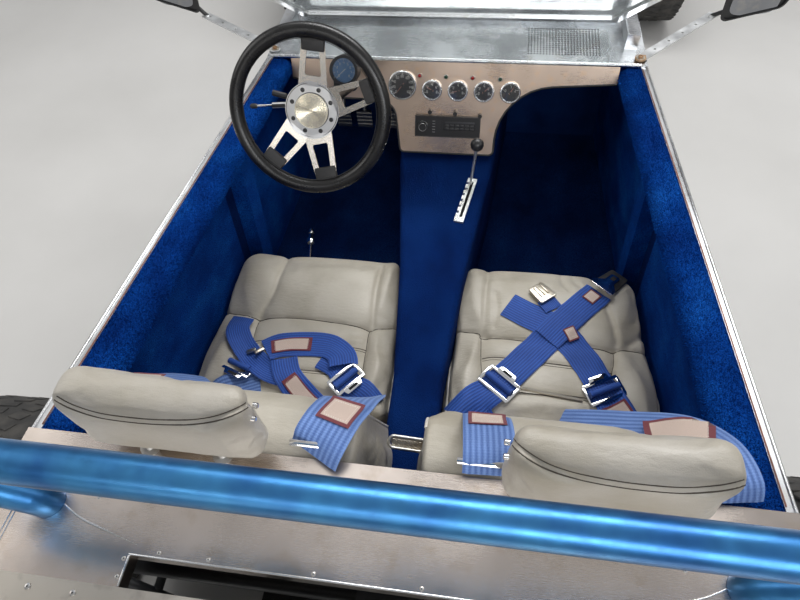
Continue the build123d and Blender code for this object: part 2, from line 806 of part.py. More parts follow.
def seats():
    """Plain solids for the cushions, beside the tunnel, and for the backrests, leaning on the bulkhead."""
    top = deck_z - backrest_drop
    stations = (seat_front, -525.0, -860.0, seat_back)
    inner = [(between(TUNNEL_ROWS, s, 1) + seat_gap, at(s)) for s in stations]
    outer = [(half_width(s, cushion_top) - side_wall - lining - seat_gap, at(s)) for s in (seat_back, seat_front)]
    cushion = prism(inner + outer, "z", floor_top, cushion_top)
    lean = [(at(seat_back), floor_top), (at(seat_back), cushion_top), (at(backrest_top_station), top),
            (at(bulkhead_station), top), (at(bulkhead_station), floor_top)]
    reach = [(half_width(s) - side_wall - roll_rear - seat_gap, at(s)) for s in (seat_back, bulkhead_station)]
    plan = [(backrest_inner, reach[1][1]), (backrest_inner, reach[0][1])] + reach
    backrest = prism(lean, "x", 0, 700) & prism(plan, "z", 0, 1000)
    backrest = backrest - prism(tunnel_plan(seat_gap), "z", 0, tunnel_top + seat_gap)
    save("passenger_cushion", cushion)
    save("passenger_backrest", backrest)
    save("driver_cushion", other_side(cushion))
    save("driver_backrest", other_side(backrest))


def headrests():
    """Two head pads, each on two posts that stand on the deck."""
    low = deck_z + sheet + pad_rise
    pads = []
    for x, rear in ((-pad_x, pad_rear), (pad_x, pad_rear - pad_set)):
        pad = block((x - pad_half, x + pad_half), (at(rear), at(rear + pad_thick)), (low, low + pad_height))
        posts = [rod((x + k, at(bulkhead_station - 10), deck_z + sheet), (x + k, at(bulkhead_station - 10), low + 5),
                     post_radius) for k in (-60, 60)]
        pads.append(fused([pad] + posts))
    save("headrests", *pads)


# Running gear

def engine_block():
    """Engine and gearbox as one plain mass on its mounts."""
    box_top = tunnel_top - 50
    engine = block((-200, 200), (at(firewall_station + 75), at(1060)), (200, 620))
    gearbox = block((-90, 90), (at(-260), at(firewall_station + 95)), (180, box_top))
    mounts = block((-rail_x, rail_x), (at(770), at(830)), (rail_top, 240))
    foot = block((-40, 40), (at(-25), at(25)), (rail_top, 190))
    save("engine_block", fused([engine, gearbox, mounts, foot]))


def exhaust():
    """Pipe from the engine's side, under the right of the floor, to a silencer at the tail."""
    x = rail_x + rail_width / 2 + 95
    points = [(200, at(700), 260), (x, at(700), 260), (x, at(520), 112), (x, at(-1420), 112),
              (x, at(-1560), 215), (x, at(-1600), 215)]
    can = rod((x, at(-1590), 215), (x, at(-1810), 215), 58)
    tail = rod((x, at(-1800), 215), (x, at(tail_station - 25), 215), 24)
    save("exhaust", fused([tube(points, [60, 60, 60, 30], 24), can, tail]))


def arm_pair(pivots, outer, radius, brace_x):
    """Wishbone of two round bars from two pivots to one ball joint, with a bar across at brace_x."""
    bars = []
    ends = []
    for pivot in pivots:
        bars.append(rod(pivot, outer, radius))
        bars.append(Pos(*pivot) * Rot(90, 0, 0) * Cylinder(radius + 6, 44))
        ends.append(along(pivot, outer, (brace_x - pivot[0]) / (outer[0] - pivot[0])))
    bars.append(rod(ends[0], ends[1], radius - 3))
    return bars


def damper(foot, head):
    """Damper body and rod between two spring plates."""
    low, high = along(foot, head, 0.22), along(foot, head, 0.92)
    plates = [rod(along(foot, head, share), along(foot, head, share + 0.025), 36) for share in (0.22, 0.9)]
    return [rod(foot, head, 10), rod(low, along(low, high, 0.6), 21)] + plates


def front_suspension():
    """Two wishbones and a damper a side, and the steering rack's housing."""
    y = at(front_axle)
    low_ball = (kingpin_x, y, front_tyre_radius - kingpin_half - 14)
    high_ball = (kingpin_x, y, front_tyre_radius + kingpin_half + 14)
    low_x = rail_x + rail_width / 2 + 19
    lower = arm_pair([(low_x, y - 170, rail_top - 10), (low_x, y + 170, rail_top - 10)], low_ball, 13, 620)
    high_z = front_tyre_radius + kingpin_half
    high = [(half_width(front_axle + k - 22, high_z - 17) + 17, y + k, high_z) for k in (-110, 110)]
    upper = arm_pair(high, high_ball, 11, 700)
    lower.append(Pos(*low_ball) * Cylinder(18, 27.4))
    upper.append(Pos(*high_ball) * Cylinder(18, 27.4))
    head_z = high_z + 110
    wall = half_width(front_axle - 20, head_z - 25)
    spring = damper((620, y, 178), (wall + 30, y, head_z))
    spring.append(block((wall, wall + 50), (y - 20, y + 20), (head_z - 20, head_z + 20)))
    right = fused(lower + spring) - nose_form(0, nose_station - tip_length)
    wing = fused(upper)
    save("front_suspension", right, wing, other_side(right), other_side(wing), rack_housing())


def rack_z():
    """Height of the steering rack, just over the steering arms."""
    return front_tyre_radius + rack_lift


def rack_housing():
    """Housing of the rack on two feet on a crossmember, with the pinion's tower."""
    y = at(front_axle - steer_arm)
    z = rack_z()
    housing = rod((steer_x + 10, y, z), (170, y, z), 24)
    pinion = rod((steer_x + 28, y, z), (steer_x + 28, y, z + 48), 16)
    bore = rod((-400, y, z), (400, y, z), rack_radius + running_gap)
    feet = [block((x - 15, x + 15), (y - 20, y + 20), (rail_top, z - 15)) for x in (-130, 130)]
    return fused([housing, pinion] + feet) - bore


def steering_rack():
    """Sliding rack with its tie rods, as one straight bar with an eye over each steering arm."""
    y = at(front_axle - steer_arm)
    z = rack_z()
    bar = rod((-kingpin_x, y, z), (kingpin_x, y, z), rack_radius)
    ends = [rod((s * (kingpin_x - 90), y, z), (s * (kingpin_x - 10), y, z), rack_radius + 3) for s in (-1, 1)]
    eyes = [Pos(s * kingpin_x, y, z) * Cylinder(17, 17) for s in (-1, 1)]
    save("steering_rack", fused([bar] + ends + eyes))


def knuckles():
    """Upright, spindle and steering arm of each front wheel."""
    y = at(front_axle)
    z = front_tyre_radius
    post = block((kingpin_x - 22, kingpin_x + 22), (y - 26, y + 26), (z - kingpin_half, z + kingpin_half))
    flange = Pos(kingpin_x + 14, y, z) * Rot(0, 90, 0) * Cylinder(44, 28)
    spindle = rod((kingpin_x, y, z), (front_tyre_x + 20, y, z), hub_bore - running_gap)
    arm = block((kingpin_x - 14, kingpin_x + 14), (y - steer_arm, y), (z - 10, z + 8))
    eye = Pos(kingpin_x, y - steer_arm, z - 1) * Cylinder(16, 18)
    right = fused([post, flange, spindle, arm, eye])
    save("knuckle_right", right)
    save("knuckle_left", other_side(right))


def wheel(name, x, station, radius, width):
    """Tyre, and rim with windows round its disc, turned about the axle."""
    y = at(station)
    half = width / 2
    tyre = [(-half + 18, rim_radius), (-half + 4, rim_radius + 14), (-half, rim_radius + 50),
            (-half, radius - 45), (-half + 8, radius - 20), (-half + 26, radius - 5), (-half + 56, radius),
            (half - 56, radius), (half - 26, radius - 5), (half - 8, radius - 20), (half, radius - 45),
            (half, rim_radius + 50), (half - 4, rim_radius + 14), (half - 18, rim_radius)]
    barrel = half - 18
    disc = 18.0
    inner = rim_radius - rim_wall
    rim = [(-barrel, rim_radius), (-barrel, inner), (disc - 4, inner - 6), (disc - 22, 78), (disc - 30, 60),
           (disc - 30, hub_bore), (disc + 32, hub_bore), (disc + 32, 52), (disc + 20, 64), (disc - 2, 84),
           (disc + 16, inner - 6), (barrel - 20, inner), (barrel, inner), (barrel, rim_radius)]
    s = 1 if x > 0 else -1
    solid = turned([(s * a, r) for a, r in rim], x, y, radius)
    window = [(-15, 96, 8), (15, 96, 8), (30, 152, 10), (-30, 152, 10)]
    for i in range(rim_windows):
        cut = Rot(i * 360 / rim_windows, 0, 0) * prism(window, "x", -60, 60)
        solid = solid - Pos(x + s * disc, y, radius) * cut
    save(f"{name}_tyre", turned([(s * a, r) for a, r in tyre], x, y, radius))
    save(f"{name}_rim", solid)


def wheels():
    """The four wheels, each as a tyre and a rim."""
    for side, s in (("left", -1), ("right", 1)):
        wheel(f"front_{side}", s * front_tyre_x, front_axle, front_tyre_radius, front_tyre_width)
        wheel(f"rear_{side}", s * rear_tyre_x, rear_axle, rear_tyre_radius, rear_tyre_width)


def rear_axle_set():
    """Final drive on the frame, half shafts, wishbones, hub carriers and dampers."""
    y = at(rear_axle)
    z = shaft_z()
    shaft_end = (0, at(-262), tunnel_top - 160)
    solids = [Pos(0, y, z) * Rot(0, 90, 0) * Cylinder(98, 130), rod((0, y, z), (0, y + 98, z), 60),
              block((-60, 60), (y - 28, y + 28), (rail_top, z - 60)), rod((0, y, z), shaft_end, 26)]
    carrier_x = rear_tyre_x - 92
    low_x = rail_x + rail_width / 2 + 20
    for s in (-1, 1):
        half = rod((0, y, z), (s * carrier_x, y, z), 17)
        carrier = block(sorted((s * (carrier_x - 20), s * (carrier_x + 20))), (y - 40, y + 40), (z - 90, z + 60))
        spindle = rod((s * carrier_x, y, z), (s * (rear_tyre_x + 20), y, z), hub_bore - running_gap)
        ends = [(s * low_x, y + k * 80, rail_top) for k in (-1, 1)]
        arm = arm_pair(ends, (s * carrier_x, y, z - 90), 14, s * 560)
        share = (80 - spring_offset) / 80
        spring_x = low_x + (carrier_x - low_x) * share
        foot = (s * spring_x, y + spring_offset, rail_top + share * (z - 90 - rail_top))
        head = (s * spring_x, y + spring_offset, tie_z - tie_radius)
        solids = solids + [half, carrier, spindle] + arm + damper(foot, head)
    save("rear_axle", fused(solids))


def lamps():
    """Round headlamps on stalks beside the nose, and round tail lamps."""
    station = front_axle + 180
    x = half_width(station) + 98
    z = top_edge(station) - 43
    # Bowl: distance forward of its middle, radius
    bowl = [(-55, 0), (-50, 30), (-20, 70), (35, 90), (50, 88), (50, 80), (44, 0)]
    shape = revolve(Plane.YZ * make_face(Polyline(*bowl, close=True)), axis=Axis.Y)
    heads = []
    for s in (-1, 1):
        foot = (s * (half_width(station - 11, z - 80) + 5.4), at(station), z - 80)
        stalk = rod(foot, (s * x, at(station), z - 20), 11)
        heads.append(fused([Pos(s * x, at(station), z) * shape, stalk]))
    save("headlamps", *heads)
    tails = [rod((s * 450, at(tail_station), 620), (s * 450, at(-tail_reach), 620), 45) for s in (-1, 1)]
    save("tail_lamps", *tails)


def main():
    """Write every node."""
    chassis_frame()
    body_sides()
    floor_pan()
    tunnel_console()
    bulkheads()
    cowl_panel()
    rear_deck()
    rear_panel()
    nose_panel()
    bonnet()
    radiator()
    windscreen()
    mirrors()
    roll_hoop()
    dashboard()
    instruments()
    steering_column()
    steering_wheel()
    shift_lever()
    pedals()
    side_trims()
    seats()
    headrests()
    engine_block()
    exhaust()
    front_suspension()
    steering_rack()
    knuckles()
    wheels()
    rear_axle_set()
    lamps()


main()
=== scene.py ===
"""Looks of an open two-seat roadster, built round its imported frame.

The frame holds every rigid piece at its real size. This script gives each of them its finish, and
makes the soft seats, the harnesses, the coils, tread, dials, screws and stitches that go with them.
All lengths are metres: +X to the car's right, +Y forward, +Z up, the ground at z = 0.
"""

from __future__ import annotations

import json
import logging
import math
from dataclasses import dataclass
from enum import Enum
from typing import Callable, Iterable, Sequence

import bmesh
import bpy
import numpy as np
from mathutils import Matrix, Vector
from mathutils.bvhtree import BVHTree
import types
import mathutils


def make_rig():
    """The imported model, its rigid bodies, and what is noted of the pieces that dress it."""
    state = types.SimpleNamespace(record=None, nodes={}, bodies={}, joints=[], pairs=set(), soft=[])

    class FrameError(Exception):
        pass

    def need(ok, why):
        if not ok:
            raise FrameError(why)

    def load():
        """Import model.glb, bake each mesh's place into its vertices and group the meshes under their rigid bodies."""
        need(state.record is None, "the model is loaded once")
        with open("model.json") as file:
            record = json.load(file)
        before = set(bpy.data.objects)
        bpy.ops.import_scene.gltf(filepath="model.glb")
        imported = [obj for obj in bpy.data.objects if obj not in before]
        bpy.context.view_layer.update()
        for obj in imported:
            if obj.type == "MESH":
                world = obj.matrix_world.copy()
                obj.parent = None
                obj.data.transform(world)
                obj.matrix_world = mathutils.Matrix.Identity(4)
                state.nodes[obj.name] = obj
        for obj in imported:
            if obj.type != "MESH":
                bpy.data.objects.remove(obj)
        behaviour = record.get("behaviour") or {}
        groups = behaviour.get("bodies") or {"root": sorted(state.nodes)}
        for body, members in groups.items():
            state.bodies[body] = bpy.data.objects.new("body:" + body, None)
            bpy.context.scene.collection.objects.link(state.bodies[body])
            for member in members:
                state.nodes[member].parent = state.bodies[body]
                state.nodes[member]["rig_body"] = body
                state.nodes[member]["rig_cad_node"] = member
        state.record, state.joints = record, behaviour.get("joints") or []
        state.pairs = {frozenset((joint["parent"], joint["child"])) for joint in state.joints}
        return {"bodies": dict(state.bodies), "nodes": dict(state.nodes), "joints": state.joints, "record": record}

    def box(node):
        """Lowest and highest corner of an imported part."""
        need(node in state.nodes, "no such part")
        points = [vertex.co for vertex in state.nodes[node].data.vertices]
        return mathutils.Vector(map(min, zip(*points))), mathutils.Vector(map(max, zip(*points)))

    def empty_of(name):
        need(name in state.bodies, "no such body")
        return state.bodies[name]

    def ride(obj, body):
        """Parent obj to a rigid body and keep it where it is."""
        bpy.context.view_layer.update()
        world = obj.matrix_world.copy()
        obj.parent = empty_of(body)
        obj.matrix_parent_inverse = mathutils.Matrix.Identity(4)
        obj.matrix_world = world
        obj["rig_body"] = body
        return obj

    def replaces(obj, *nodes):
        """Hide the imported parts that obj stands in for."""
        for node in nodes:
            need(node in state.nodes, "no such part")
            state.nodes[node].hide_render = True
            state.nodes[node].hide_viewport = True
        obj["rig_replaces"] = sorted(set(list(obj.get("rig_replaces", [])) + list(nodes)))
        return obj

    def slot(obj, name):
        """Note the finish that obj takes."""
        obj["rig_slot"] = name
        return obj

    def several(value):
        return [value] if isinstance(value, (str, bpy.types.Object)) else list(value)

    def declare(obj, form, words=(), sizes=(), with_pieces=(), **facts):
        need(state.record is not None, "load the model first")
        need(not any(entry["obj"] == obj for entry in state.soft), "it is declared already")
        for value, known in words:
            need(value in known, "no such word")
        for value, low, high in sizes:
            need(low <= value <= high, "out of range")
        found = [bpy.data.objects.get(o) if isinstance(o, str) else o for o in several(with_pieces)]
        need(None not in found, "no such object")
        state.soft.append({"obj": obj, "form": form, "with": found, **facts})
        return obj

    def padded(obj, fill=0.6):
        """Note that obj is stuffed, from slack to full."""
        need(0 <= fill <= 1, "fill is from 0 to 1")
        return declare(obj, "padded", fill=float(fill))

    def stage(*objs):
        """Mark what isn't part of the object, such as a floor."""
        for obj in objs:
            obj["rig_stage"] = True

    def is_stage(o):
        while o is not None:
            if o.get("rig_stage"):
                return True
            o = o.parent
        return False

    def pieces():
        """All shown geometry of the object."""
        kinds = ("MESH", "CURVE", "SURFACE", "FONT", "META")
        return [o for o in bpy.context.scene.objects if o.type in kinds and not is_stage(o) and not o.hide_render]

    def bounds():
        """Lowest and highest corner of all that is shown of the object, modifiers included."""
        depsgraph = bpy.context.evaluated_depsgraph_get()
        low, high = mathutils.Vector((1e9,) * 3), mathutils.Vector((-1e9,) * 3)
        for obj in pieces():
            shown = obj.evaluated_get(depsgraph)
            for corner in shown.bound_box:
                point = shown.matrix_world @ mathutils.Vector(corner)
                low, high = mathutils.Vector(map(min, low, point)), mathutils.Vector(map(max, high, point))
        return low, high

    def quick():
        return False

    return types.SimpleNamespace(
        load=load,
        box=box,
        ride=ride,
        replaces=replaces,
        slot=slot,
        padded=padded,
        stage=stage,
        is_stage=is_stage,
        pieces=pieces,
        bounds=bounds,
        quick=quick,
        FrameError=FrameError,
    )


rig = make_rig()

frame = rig.load()
CAD_BOX = [[float(v) for v in corner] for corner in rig.bounds()]

logging.basicConfig(level=logging.INFO, format="%(name)s: %(message)s")
LOG = logging.getLogger("roadster")

Colour = tuple[float, float, float]
Point = tuple[float, float, float]

BODY = "car_body"
HAND_WHEEL = "hand_wheel"
# Smoothing angles in degrees: of bars, seams and covers, and of webbing and small fittings
ROUNDED = 60.0
CREASED = 50.0
# Distance from the car's middle, and height, at which rays start on their way to its skin
OUTSIDE = 1.2
# The cowl's rear edge, from which lengths along the cabin are measured
COWL_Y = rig.box("dashboard")[1][1]


class Side(Enum):
    """The car's two sides, as the sign of X."""

    LEFT = -1
    RIGHT = 1


class Grain(Enum):
    """Which way a brushed surface's lines run, as a stretch of its noise along X, Y and Z."""

    ALONG_X = (0.02, 1.0, 1.0)
    ALONG_Y = (1.0, 0.02, 1.0)
    NONE = (1.0, 1.0, 1.0)


# Finishes


class Shade:
    """A material's node tree, with short calls for the nodes that the finishes share."""

    def __init__(self, name: str) -> None:
        """Starts a material with its principled shader and object coordinates."""
        self.material = bpy.data.materials.new(name)
        self.material.use_nodes = True
        self.tree = self.material.node_tree
        self.shader = self.tree.nodes["Principled BSDF"]
        self.place = self.node("ShaderNodeTexCoord").outputs["Object"]

    def node(self, kind: str, **settings: object) -> bpy.types.Node:
        """Adds a node of a kind and gives it its settings."""
        made = self.tree.nodes.new(kind)
        for key, value in settings.items():
            setattr(made, key, value)
        return made

    def link(self, source: bpy.types.NodeSocket, target: bpy.types.NodeSocket) -> None:
        """Joins an output to an input."""
        self.tree.links.new(source, target)

    def uv(self) -> bpy.types.NodeSocket:
        """The piece's own UV map."""
        return self.node("ShaderNodeTexCoord").outputs["UV"]

    def parts(self, vector: bpy.types.NodeSocket) -> bpy.types.NodeOutputs:
        """A vector's X, Y and Z."""
        split = self.node("ShaderNodeSeparateXYZ")
        self.link(vector, split.inputs["Vector"])
        return split.outputs

    def seen_from(self, centre: Point) -> bpy.types.NodeSocket:
        """The vector from a point to each place on the surface."""
        away = self.node("ShaderNodeVectorMath", operation="SUBTRACT")
        self.link(self.place, away.inputs[0])
        away.inputs[1].default_value = centre
        return away.outputs["Vector"]

    def length(self, vector: bpy.types.NodeSocket) -> bpy.types.NodeSocket:
        """A vector's length."""
        size = self.node("ShaderNodeVectorMath", operation="LENGTH")
        self.link(vector, size.inputs[0])
        return size.outputs["Value"]

    def noise(self, scale: float, detail: float = 3.0,
              stretch: Sequence[float] = (1.0, 1.0, 1.0)) -> bpy.types.NodeSocket:
        """Noise at a scale in cycles per metre, stretched along the axes."""
        mapping = self.node("ShaderNodeMapping")
        mapping.inputs["Scale"].default_value = stretch
        self.link(self.place, mapping.inputs["Vector"])
        made = self.node("ShaderNodeTexNoise")
        made.inputs["Scale"].default_value = scale
        made.inputs["Detail"].default_value = detail
        self.link(mapping.outputs["Vector"], made.inputs["Vector"])
        return made.outputs["Fac"]

    def cells(self, scale: float) -> bpy.types.NodeSocket:
        """Distance to the nearest point of Voronoi cells."""
        made = self.node("ShaderNodeTexVoronoi", feature="F1")
        made.inputs["Scale"].default_value = scale
        self.link(self.place, made.inputs["Vector"])
        return made.outputs["Distance"]

    def maths(self, operation: str, first: bpy.types.NodeSocket | float,
              second: bpy.types.NodeSocket | float = 0.0) -> bpy.types.NodeSocket:
        """One arithmetic step on two values."""
        made = self.node("ShaderNodeMath", operation=operation)
        for socket, value in zip(made.inputs, (first, second)):
            if isinstance(value, (int, float)):
                socket.default_value = value
            else:
                self.link(value, socket)
        return made.outputs["Value"]

    def spread(self, value: bpy.types.NodeSocket, low: float, high: float, start: float = 0.0,
               end: float = 1.0) -> bpy.types.NodeSocket:
        """A value's range from low to high, mapped onto start to end and held there."""
        made = self.node("ShaderNodeMapRange")
        for key, number in (("From Min", low), ("From Max", high), ("To Min", start), ("To Max", end)):
            made.inputs[key].default_value = number
        self.link(value, made.inputs["Value"])
        return made.outputs["Result"]

    def ramp(self, value: bpy.types.NodeSocket, *stops: tuple[float, Colour]) -> bpy.types.NodeSocket:
        """A colour for each value, from stops of position and colour."""
        made = self.node("ShaderNodeValToRGB")
        set_stops(made, stops)
        self.link(value, made.inputs["Fac"])
        return made.outputs["Color"]

    def mix(self, share: bpy.types.NodeSocket, first: bpy.types.NodeSocket | Colour,
            second: bpy.types.NodeSocket | Colour) -> bpy.types.NodeSocket:
        """Two colours mixed by a share."""
        made = self.node("ShaderNodeMix", data_type="RGBA")
        self.link(share, made.inputs[0])
        for socket, value in ((made.inputs[6], first), (made.inputs[7], second)):
            if isinstance(value, tuple):
                socket.default_value = (*value, 1.0)
            else:
                self.link(value, socket)
        return made.outputs[2]

    def blend(self, share: bpy.types.NodeSocket, first: bpy.types.NodeSocket,
              second: bpy.types.NodeSocket | float) -> bpy.types.NodeSocket:
        """Two values mixed by a share."""
        kept = self.maths("MULTIPLY", first, self.maths("SUBTRACT", 1.0, share))
        return self.maths("ADD", kept, self.maths("MULTIPLY", share, second))

    def give(self, **values: float | Colour | bpy.types.NodeSocket) -> None:
        """Sets the shader's sockets: an underscore in a name stands for a space."""
        for key, value in values.items():
            socket = self.shader.inputs[key.replace("_", " ")]
            if isinstance(value, bpy.types.NodeSocket):
                self.link(value, socket)
            elif isinstance(value, tuple):
                socket.default_value = (*value, 1.0) if len(socket.default_value) == 4 else value
            else:
                socket.default_value = value

    def bump(self, *layers: tuple[bpy.types.NodeSocket, float]) -> None:
        """Surface relief from layers of height and depth in metres."""
        under = None
        for height, depth in layers:
            made = self.node("ShaderNodeBump")
            made.inputs["Strength"].default_value = 1.0
            made.inputs["Distance"].default_value = depth
            self.link(height, made.inputs["Height"])
            if under is not None:
                self.link(under, made.inputs["Normal"])
            under = made.outputs["Normal"]
        self.link(under, self.shader.inputs["Normal"])


def tinted(colour: Colour, factor: float) -> Colour:
    """A colour made lighter or darker by a factor."""
    return tuple(min(1.0, channel * factor) for channel in colour)


def set_stops(node: bpy.types.Node, stops: Sequence[tuple[float, Colour]]) -> None:
    """Gives a colour ramp its stops of position and colour."""
    elements = node.color_ramp.elements
    while len(elements) < len(stops):
        elements.new(0.5)
    for element, (position, colour) in zip(elements, stops):
        element.position = position
        element.color = (*colour, 1.0)


@dataclass(frozen=True)
class SheetMetal:
    """Bare metal with brushed lines, a slight ripple, and stains from handling."""

    colour: Colour
    roughness: float = 0.3
    grain: Grain = Grain.ALONG_X
    ripple: float = 0.002
    stain: Colour = (0.55, 0.50, 0.42)
    stain_share: float = 0.25

    def build(self, name: str) -> bpy.types.Material:
        """The metal's material: lines and smudges in its roughness, ripples in its relief."""
        shade = Shade(name)
        lines = shade.noise(2200.0, 1.0, self.grain.value)
        patches = shade.noise(5.0, 4.0)
        spots = shade.spread(shade.noise(38.0, 5.0), 0.56, 0.72)
        tone = shade.ramp(patches, (0.3, tinted(self.colour, 0.82)), (0.7, tinted(self.colour, 1.1)))
        worn = shade.mix(shade.maths("MULTIPLY", spots, self.stain_share), tone, self.stain)
        rough = shade.maths("ADD", shade.spread(lines, 0.3, 0.7, -0.025, 0.025),
                            shade.spread(patches, 0.3, 0.7, self.roughness - 0.06, self.roughness + 0.1))
        shade.give(Base_Color=worn, Metallic=1.0, Roughness=rough)
        shade.bump((shade.noise(4.5, 1.0), self.ripple), (lines, 0.000004))
        return shade.material


@dataclass(frozen=True)
class Paint:
    """Painted metal with flakes, an orange-peel surface and a clear coat."""

    colour: Colour
    deep: Colour
    metallic: float = 0.0
    roughness: float = 0.3
    coat: float = 0.6
    flake: float = 0.0

    def build(self, name: str) -> bpy.types.Material:
        """The paint's material."""
        shade = Shade(name)
        clouds = shade.noise(14.0, 3.0)
        tone = shade.mix(shade.spread(clouds, 0.35, 0.65), self.deep, self.colour)
        if self.flake:
            sparks = shade.spread(shade.cells(1800.0), 0.0, 0.35, 1.0, 0.0)
            tone = shade.mix(shade.maths("MULTIPLY", sparks, self.flake), tone, tinted(self.colour, 2.2))
        rough = shade.spread(shade.noise(60.0, 4.0), 0.3, 0.7, self.roughness - 0.05, self.roughness + 0.08)
        shade.give(Base_Color=tone, Metallic=self.metallic, Roughness=rough, Coat_Weight=self.coat,
                   Coat_Roughness=0.24)
        shade.bump((shade.noise(420.0, 2.0), 0.00002))
        return shade.material


@dataclass(frozen=True)
class PileCarpet:
    """Cut pile with painted light: tips painted lighter as a highlight, painted shade between the tufts, and brushed
    patches painted lighter and darker as the pile's sheen and shade.
    """

    colour: Colour
    # The shadow colour is painted shade and the tip colour a painted highlight on the pile
    shadow: Colour
    tip: Colour

    def build(self, name: str) -> bpy.types.Material:
        """The carpet's material: tufts in colour and relief, a painted highlight on their tips and painted shade
        between them, and broad brushed patches of painted sheen and shade.
        """
        shade = Shade(name)
        tufts = shade.noise(620.0, 4.0)
        loops = shade.cells(420.0)
        brushed = shade.noise(9.0, 4.0, (1.0, 0.7, 1.0))
        # Painted sheen and shade: the brushed patches run from the shadow colour through the carpet's own to the lit
        # tip colour
        broad = shade.ramp(brushed, (0.3, self.shadow), (0.5, self.colour), (0.74, self.tip))
        # Painted shade between the tufts: the low parts of the tuft relief take the shadow colour, darker still
        mixed = shade.mix(shade.spread(tufts, 0.38, 0.66), tinted(self.shadow, 0.7), broad)
        shade.give(Base_Color=mixed, Roughness=0.95, Specular_IOR_Level=0.05)
        shade.bump((brushed, 0.003), (tufts, 0.0022), (loops, 0.0012))
        return shade.material


@dataclass(frozen=True)
class Vinyl:
    """Soft seat vinyl with a leather grain, a satin sheen and soiled hollows."""

    colour: Colour
    soiled: Colour
    roughness: float = 0.42
    grain_scale: float = 700.0

    def build(self, name: str) -> bpy.types.Material:
        """The vinyl's material: fine grain, creases and warmer, duller patches."""
        shade = Shade(name)
        pebbles = shade.cells(self.grain_scale)
        creases = shade.noise(60.0, 5.0, (1.0, 2.5, 1.0))
        wear = shade.noise(7.0, 4.0)
        tone = shade.ramp(wear, (0.32, self.soiled), (0.56, self.colour), (0.8, tinted(self.colour, 1.08)))
        fine = shade.spread(pebbles, 0.0, 0.6, 0.0, 0.18)
        worn = shade.mix(fine, tone, tinted(self.soiled, 0.8))
        rough = shade.spread(wear, 0.3, 0.7, self.roughness + 0.1, self.roughness - 0.05)
        shade.give(Base_Color=worn, Roughness=rough, Specular_IOR_Level=0.5, Coat_Weight=0.12,
                   Coat_Roughness=0.35, Sheen_Weight=0.08)
        shade.bump((creases, 0.0011), (pebbles, 0.00022))
        return shade.material


@dataclass(frozen=True)
class WovenBelt:
    """Harness webbing: ribs along its length, crossed by the weft, with thick bound edges."""

    colour: Colour
    shadow: Colour
    ribs: float = 11.0
    picks: float = 480.0

    def build(self, name: str) -> bpy.types.Material:
        """The webbing's material. U runs across the belt from 0 to 1, V along it in metres."""
        shade = Shade(name)
        across, along, _ = shade.parts(shade.uv())
        rib = shade.maths("SINE", shade.maths("MULTIPLY", across, self.ribs * math.tau))
        lean = shade.maths("MULTIPLY", shade.maths("ABSOLUTE", rib), 1.4)
        pace = shade.maths("MULTIPLY", along, self.picks * math.tau / 2)
        weft = shade.maths("SINE", shade.maths("ADD", pace, lean))
        height = shade.maths("ADD", shade.maths("MULTIPLY", rib, 0.6), shade.maths("MULTIPLY", weft, 0.14))
        fuzz = shade.noise(900.0, 3.0)
        level = shade.maths("ADD", shade.spread(height, -0.9, 0.9), shade.spread(fuzz, 0.3, 0.7, -0.25, 0.25))
        blotches = shade.spread(shade.noise(16.0, 3.0), 0.3, 0.7)
        faded = shade.mix(blotches, self.colour, tinted(self.colour, 1.35))
        tone = shade.mix(shade.spread(level, 0.0, 1.0), self.shadow, faded)
        shade.give(Base_Color=tone, Roughness=0.72, Sheen_Weight=0.35, Sheen_Roughness=0.4,
                   Sheen_Tint=(0.6, 0.75, 1.0))
        shade.bump((height, 0.0005), (fuzz, 0.0003))
        return shade.material


@dataclass(frozen=True)
class Moulded:
    """Plastic, rubber or leather: a fine grain, a satin surface and dust in patches."""

    colour: Colour
    roughness: float = 0.5
    grain_scale: float = 900.0
    grain_depth: float = 0.0002
    dust: float = 0.15
    dust_colour: Colour = (0.32, 0.30, 0.27)

    def build(self, name: str) -> bpy.types.Material:
        """The moulding's material."""
        shade = Shade(name)
        pebbles = shade.cells(self.grain_scale)
        patches = shade.noise(22.0, 5.0)
        share = shade.spread(patches, 0.45, 0.8, 0.0, self.dust)
        tone = shade.mix(share, shade.ramp(shade.noise(6.0, 2.0), (0.3, tinted(self.colour, 0.8)),
                                           (0.7, tinted(self.colour, 1.2))), self.dust_colour)
        shade.give(Base_Color=tone, Roughness=shade.spread(patches, 0.3, 0.7, self.roughness - 0.08,
                                                           self.roughness + 0.1))
        shade.bump((pebbles, self.grain_depth), (shade.noise(1500.0, 2.0), self.grain_depth / 2))
        return shade.material


@dataclass(frozen=True)
class Clear:
    """Glass or a coloured lens, with a little dust on it."""

    colour: Colour = (0.93, 0.97, 0.96)
    roughness: float = 0.02
    moulded: float = 0.0

    def build(self, name: str) -> bpy.types.Material:
        """The glass, with a moulded pattern of squares where it is a lens."""
        shade = Shade(name)
        smears = shade.spread(shade.noise(12.0, 5.0), 0.45, 0.8, self.roughness, self.roughness + 0.08)
        shade.give(Base_Color=self.colour, Roughness=smears, Transmission_Weight=1.0, IOR=1.46)
        relief = shade.noise(40.0, 2.0)
        if self.moulded:
            relief = shade.node("ShaderNodeTexVoronoi", distance="CHEBYCHEV")
            relief.inputs["Scale"].default_value = 160.0
            relief.inputs["Randomness"].default_value = 0.0
            shade.link(shade.place, relief.inputs["Vector"])
            relief = relief.outputs["Distance"]
        shade.bump((relief, max(self.moulded, 0.00005)))
        return shade.material


